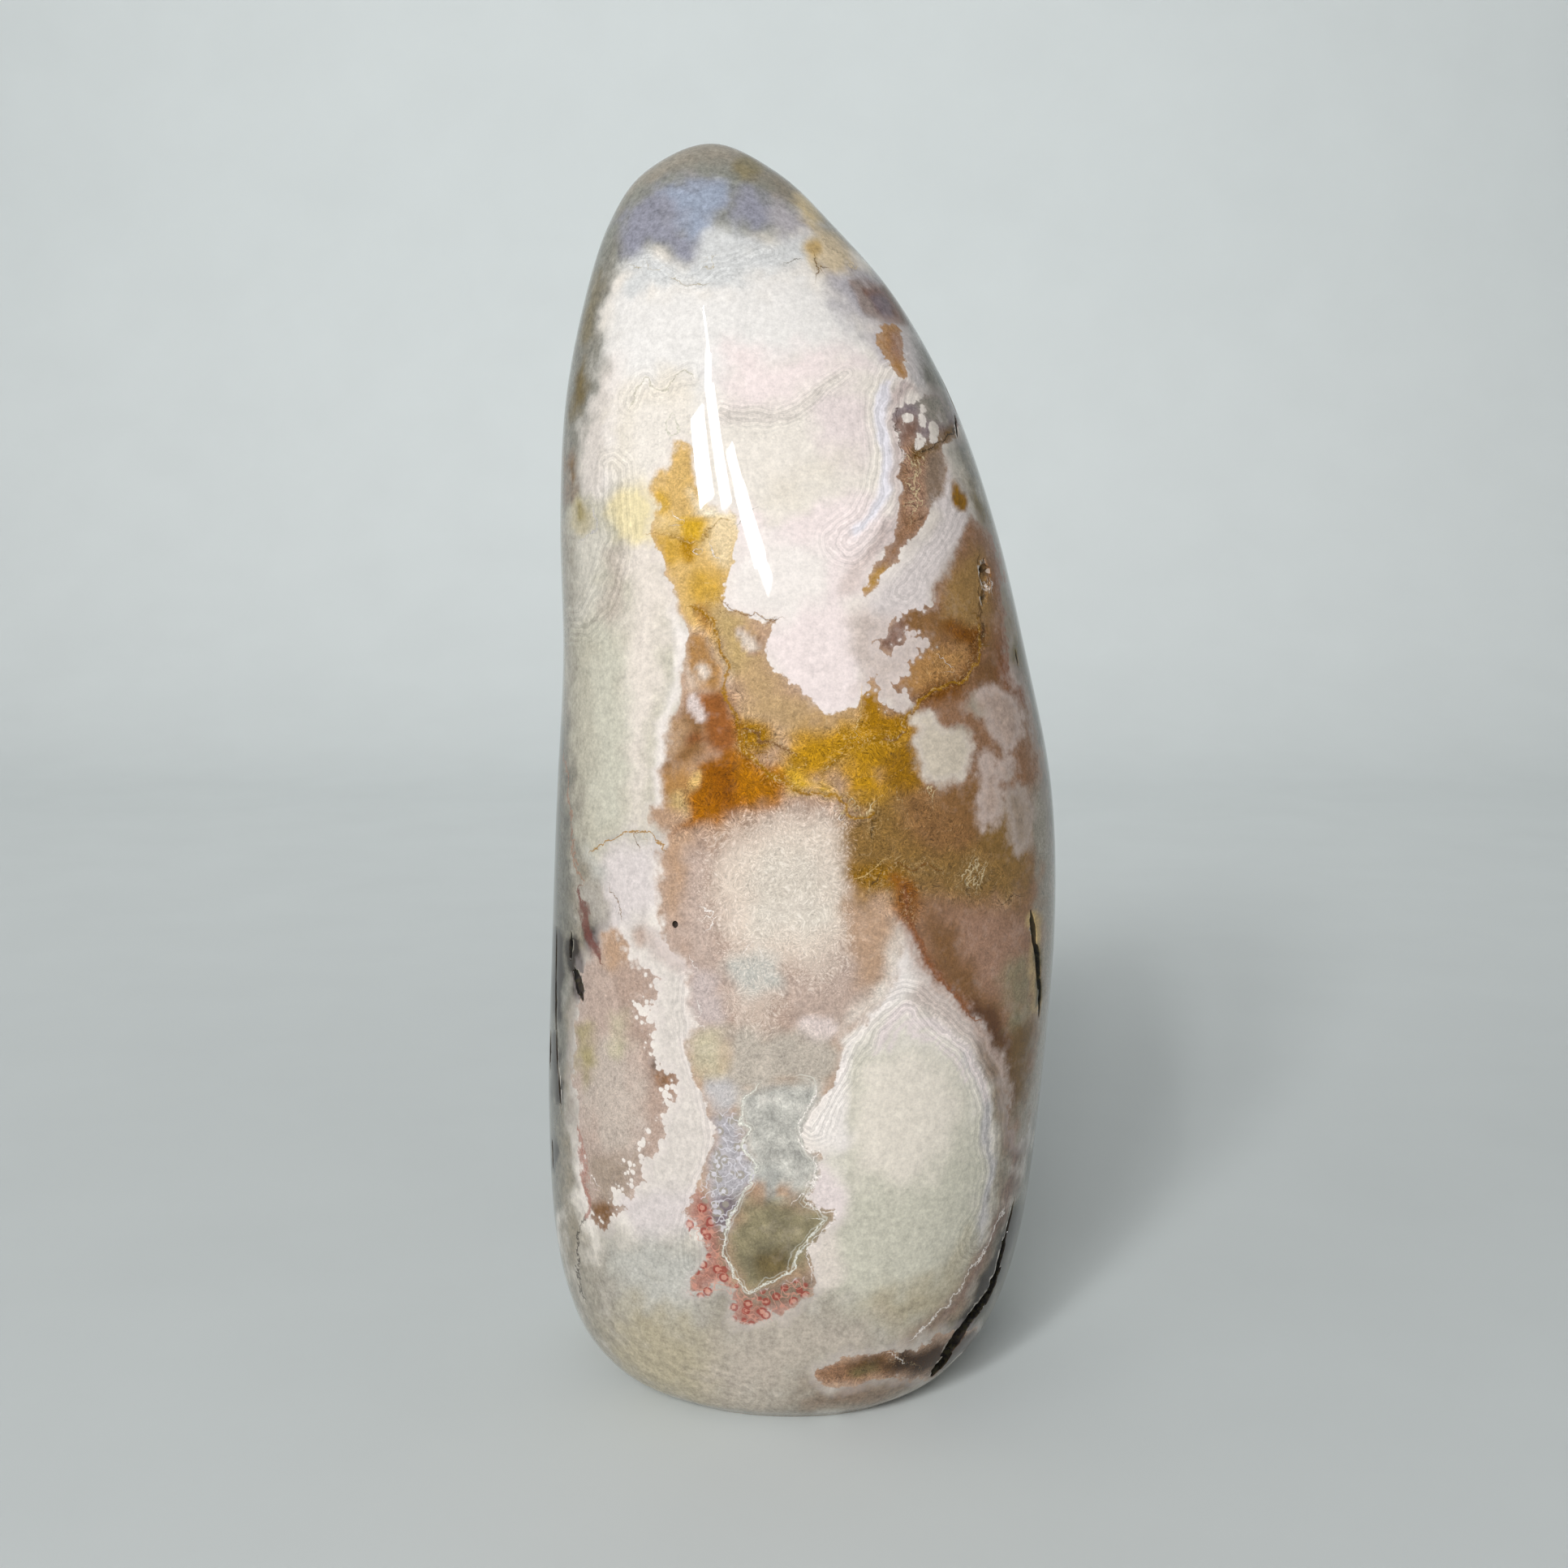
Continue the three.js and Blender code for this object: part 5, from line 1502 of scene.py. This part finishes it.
# Where the lamps point, in m, and the key's line from its low end to its high end.
STONE_MIDDLE = (-0.002, 0.0, 0.075)
BACKDROP_MIDDLE = (0.0, SWEEP_BACK, 0.05)
KEY_LOW = Vector((-0.086, -1.248, 0.427))
KEY_HIGH = Vector((-0.354, -0.974, 0.921))
KEY_POWER = 12.9  # watts, shared out evenly over its strips
OPEN_SPREAD = 180  # degrees, for a lamp that shines to all sides
# The key's strips: how far right of its line the low end and the high end are, in m, the shares of the line's
# length that they are at, and the strip's width in m.
KEY_STRIPS = (
    (-0.265, -0.213, 0.53, 0.88, 0.14),
    (-0.115, -0.062, 0.40, 0.86, 0.08),
    (0.015, 0.0, 0.02, 0.10, 0.05),
    (-0.002, 0.0, 0.10, 0.40, 0.08),
    (0.0, 0.0, 0.40, 0.56, 0.06),
    (-0.085, -0.01, 0.86, 1.0, 0.055),
    (-0.01, 0.03, 1.0, 1.25, 0.015),
)
# The other lamps: name, middle of the low end and of the high end in m, width in m, power in watts, the point
# that each faces, and how widely it spreads, in degrees.
LAMPS = (
    ("backdrop", (-0.4, 0.1, 0.75), (0.4, 0.1, 0.75), 0.3, 0.68, BACKDROP_MIDDLE, 95),
    ("soft_left", (-0.8, -0.5, 0.1), (-0.8, -0.5, 0.7), 0.5, 0.6, STONE_MIDDLE, OPEN_SPREAD),
)


def aim(piece, at):
    """Turns a camera towards a point in m."""
    direction = Vector(at) - piece.location
    piece.rotation_euler = direction.to_track_quat("-Z", "Y").to_euler()


def add_camera():
    eye, _, _ = sight()
    data = bpy.data.cameras.new("camera")
    data.sensor_width = SENSOR_MM
    data.lens = SENSOR_MM * CAMERA_AWAY / SHEET_SIDE
    data.clip_start = CLIP_START
    camera = bpy.data.objects.new("camera", data)
    bpy.context.scene.collection.objects.link(camera)
    camera.location = Vector(eye) * MM
    aim(camera, Vector(SHEET_MIDDLE) * MM)
    bpy.context.scene.camera = camera


def lamp_axes(low, high, at):
    """A lamp's own across, up and back directions, from its two ends and the point it faces."""
    up = (high - low).normalized()
    back = (low + high) / 2 - Vector(at)
    back = (back - back.dot(up) * up).normalized()
    return up.cross(back), up, back


def add_lamp(name, low, high, wide, power, at, spread):
    """A panel of light that the camera doesn't see."""
    low, high = Vector(low), Vector(high)
    data = bpy.data.lights.new(name, "AREA")
    data.shape = "RECTANGLE"
    data.size = wide
    data.size_y = (high - low).length
    data.energy = power
    data.spread = math.radians(spread)
    lamp = bpy.data.objects.new(name, data)
    bpy.context.scene.collection.objects.link(lamp)
    turned = Matrix(lamp_axes(low, high, at)).transposed().to_4x4()
    lamp.matrix_world = Matrix.Translation((low + high) / 2) @ turned
    lamp.visible_camera = False


def add_lamps():
    """The key is a tall window of bright strips, whose thin gaps show in the long highlight."""
    across, _, _ = lamp_axes(KEY_LOW, KEY_HIGH, STONE_MIDDLE)
    strips = []
    for low_right, high_right, low_share, high_share, wide in KEY_STRIPS:
        low = KEY_LOW.lerp(KEY_HIGH, low_share) + across * low_right
        high = KEY_LOW.lerp(KEY_HIGH, high_share) + across * high_right
        strips.append((low, high, wide))
    glow = KEY_POWER / sum(wide * (high - low).length for low, high, wide in strips)
    for number, (low, high, wide) in enumerate(strips):
        power = glow * wide * (high - low).length
        add_lamp(f"key_{number}", low, high, wide, power, STONE_MIDDLE, OPEN_SPREAD)
    for lamp in LAMPS:
        add_lamp(*lamp)


def sweep_paper():
    """Matt grey-white paper with hardly any mottle."""
    material, start = blank_material("sweep_paper")
    place = start.node("ShaderNodeTexCoord", {}, {}, "Object").scaled(1 / MM)
    darker, lighter = (rgba([swing * part for part in PAPER]) for swing in (1 - PAPER_SWING, 1 + PAPER_SWING))
    colour = start.blended(darker, lighter, cloud(place, PAPER_MOTTLE_PER_MM, 4))
    shader = start.node("ShaderNodeBsdfPrincipled", {}, {"Base Color": colour, "Roughness": PAPER_ROUGHNESS})
    start.node("ShaderNodeOutputMaterial", {}, {"Surface": shader})
    return material


def add_sweep():
    """A seamless floor that bends up into the backdrop."""
    profile = [(SWEEP_FRONT, 0.0)]
    for k in range(BEND_STEPS + 1):
        turn = math.pi / 2 * k / BEND_STEPS
        y = SWEEP_BACK - SWEEP_BEND + SWEEP_BEND * math.sin(turn)
        z = SWEEP_BEND - SWEEP_BEND * math.cos(turn)
        profile.append((y, z))
    profile.append((SWEEP_BACK, SWEEP_TOP))
    points = [(side * SWEEP_HALF_WIDTH, y, z) for y, z in profile for side in (-1, 1)]
    faces = [(2 * k, 2 * k + 1, 2 * k + 3, 2 * k + 2) for k in range(len(profile) - 1)]
    mesh = bpy.data.meshes.new("sweep")
    mesh.from_pydata(points, [], faces)
    mesh.shade_smooth()
    sweep = add_object("sweep", mesh)
    sweep.data.materials.append(sweep_paper())


def set_world():
    """Weak light from all round, and screen colours as they are."""
    world = bpy.data.worlds.new("studio")
    bpy.context.scene.world = world
    world.use_nodes = True
    background = world.node_tree.nodes["Background"]
    background.inputs["Color"].default_value = WORLD_LIGHT
    background.inputs["Strength"].default_value = WORLD_STRENGTH
    bpy.context.scene.view_settings.view_transform = "Standard"


def main():
    add_camera()
    set_world()
    add_sweep()
    add_lamps()
    stone = build_stone()
    stone.data.materials.append(agate())
    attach(stone, "root")
    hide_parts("stone")


main()
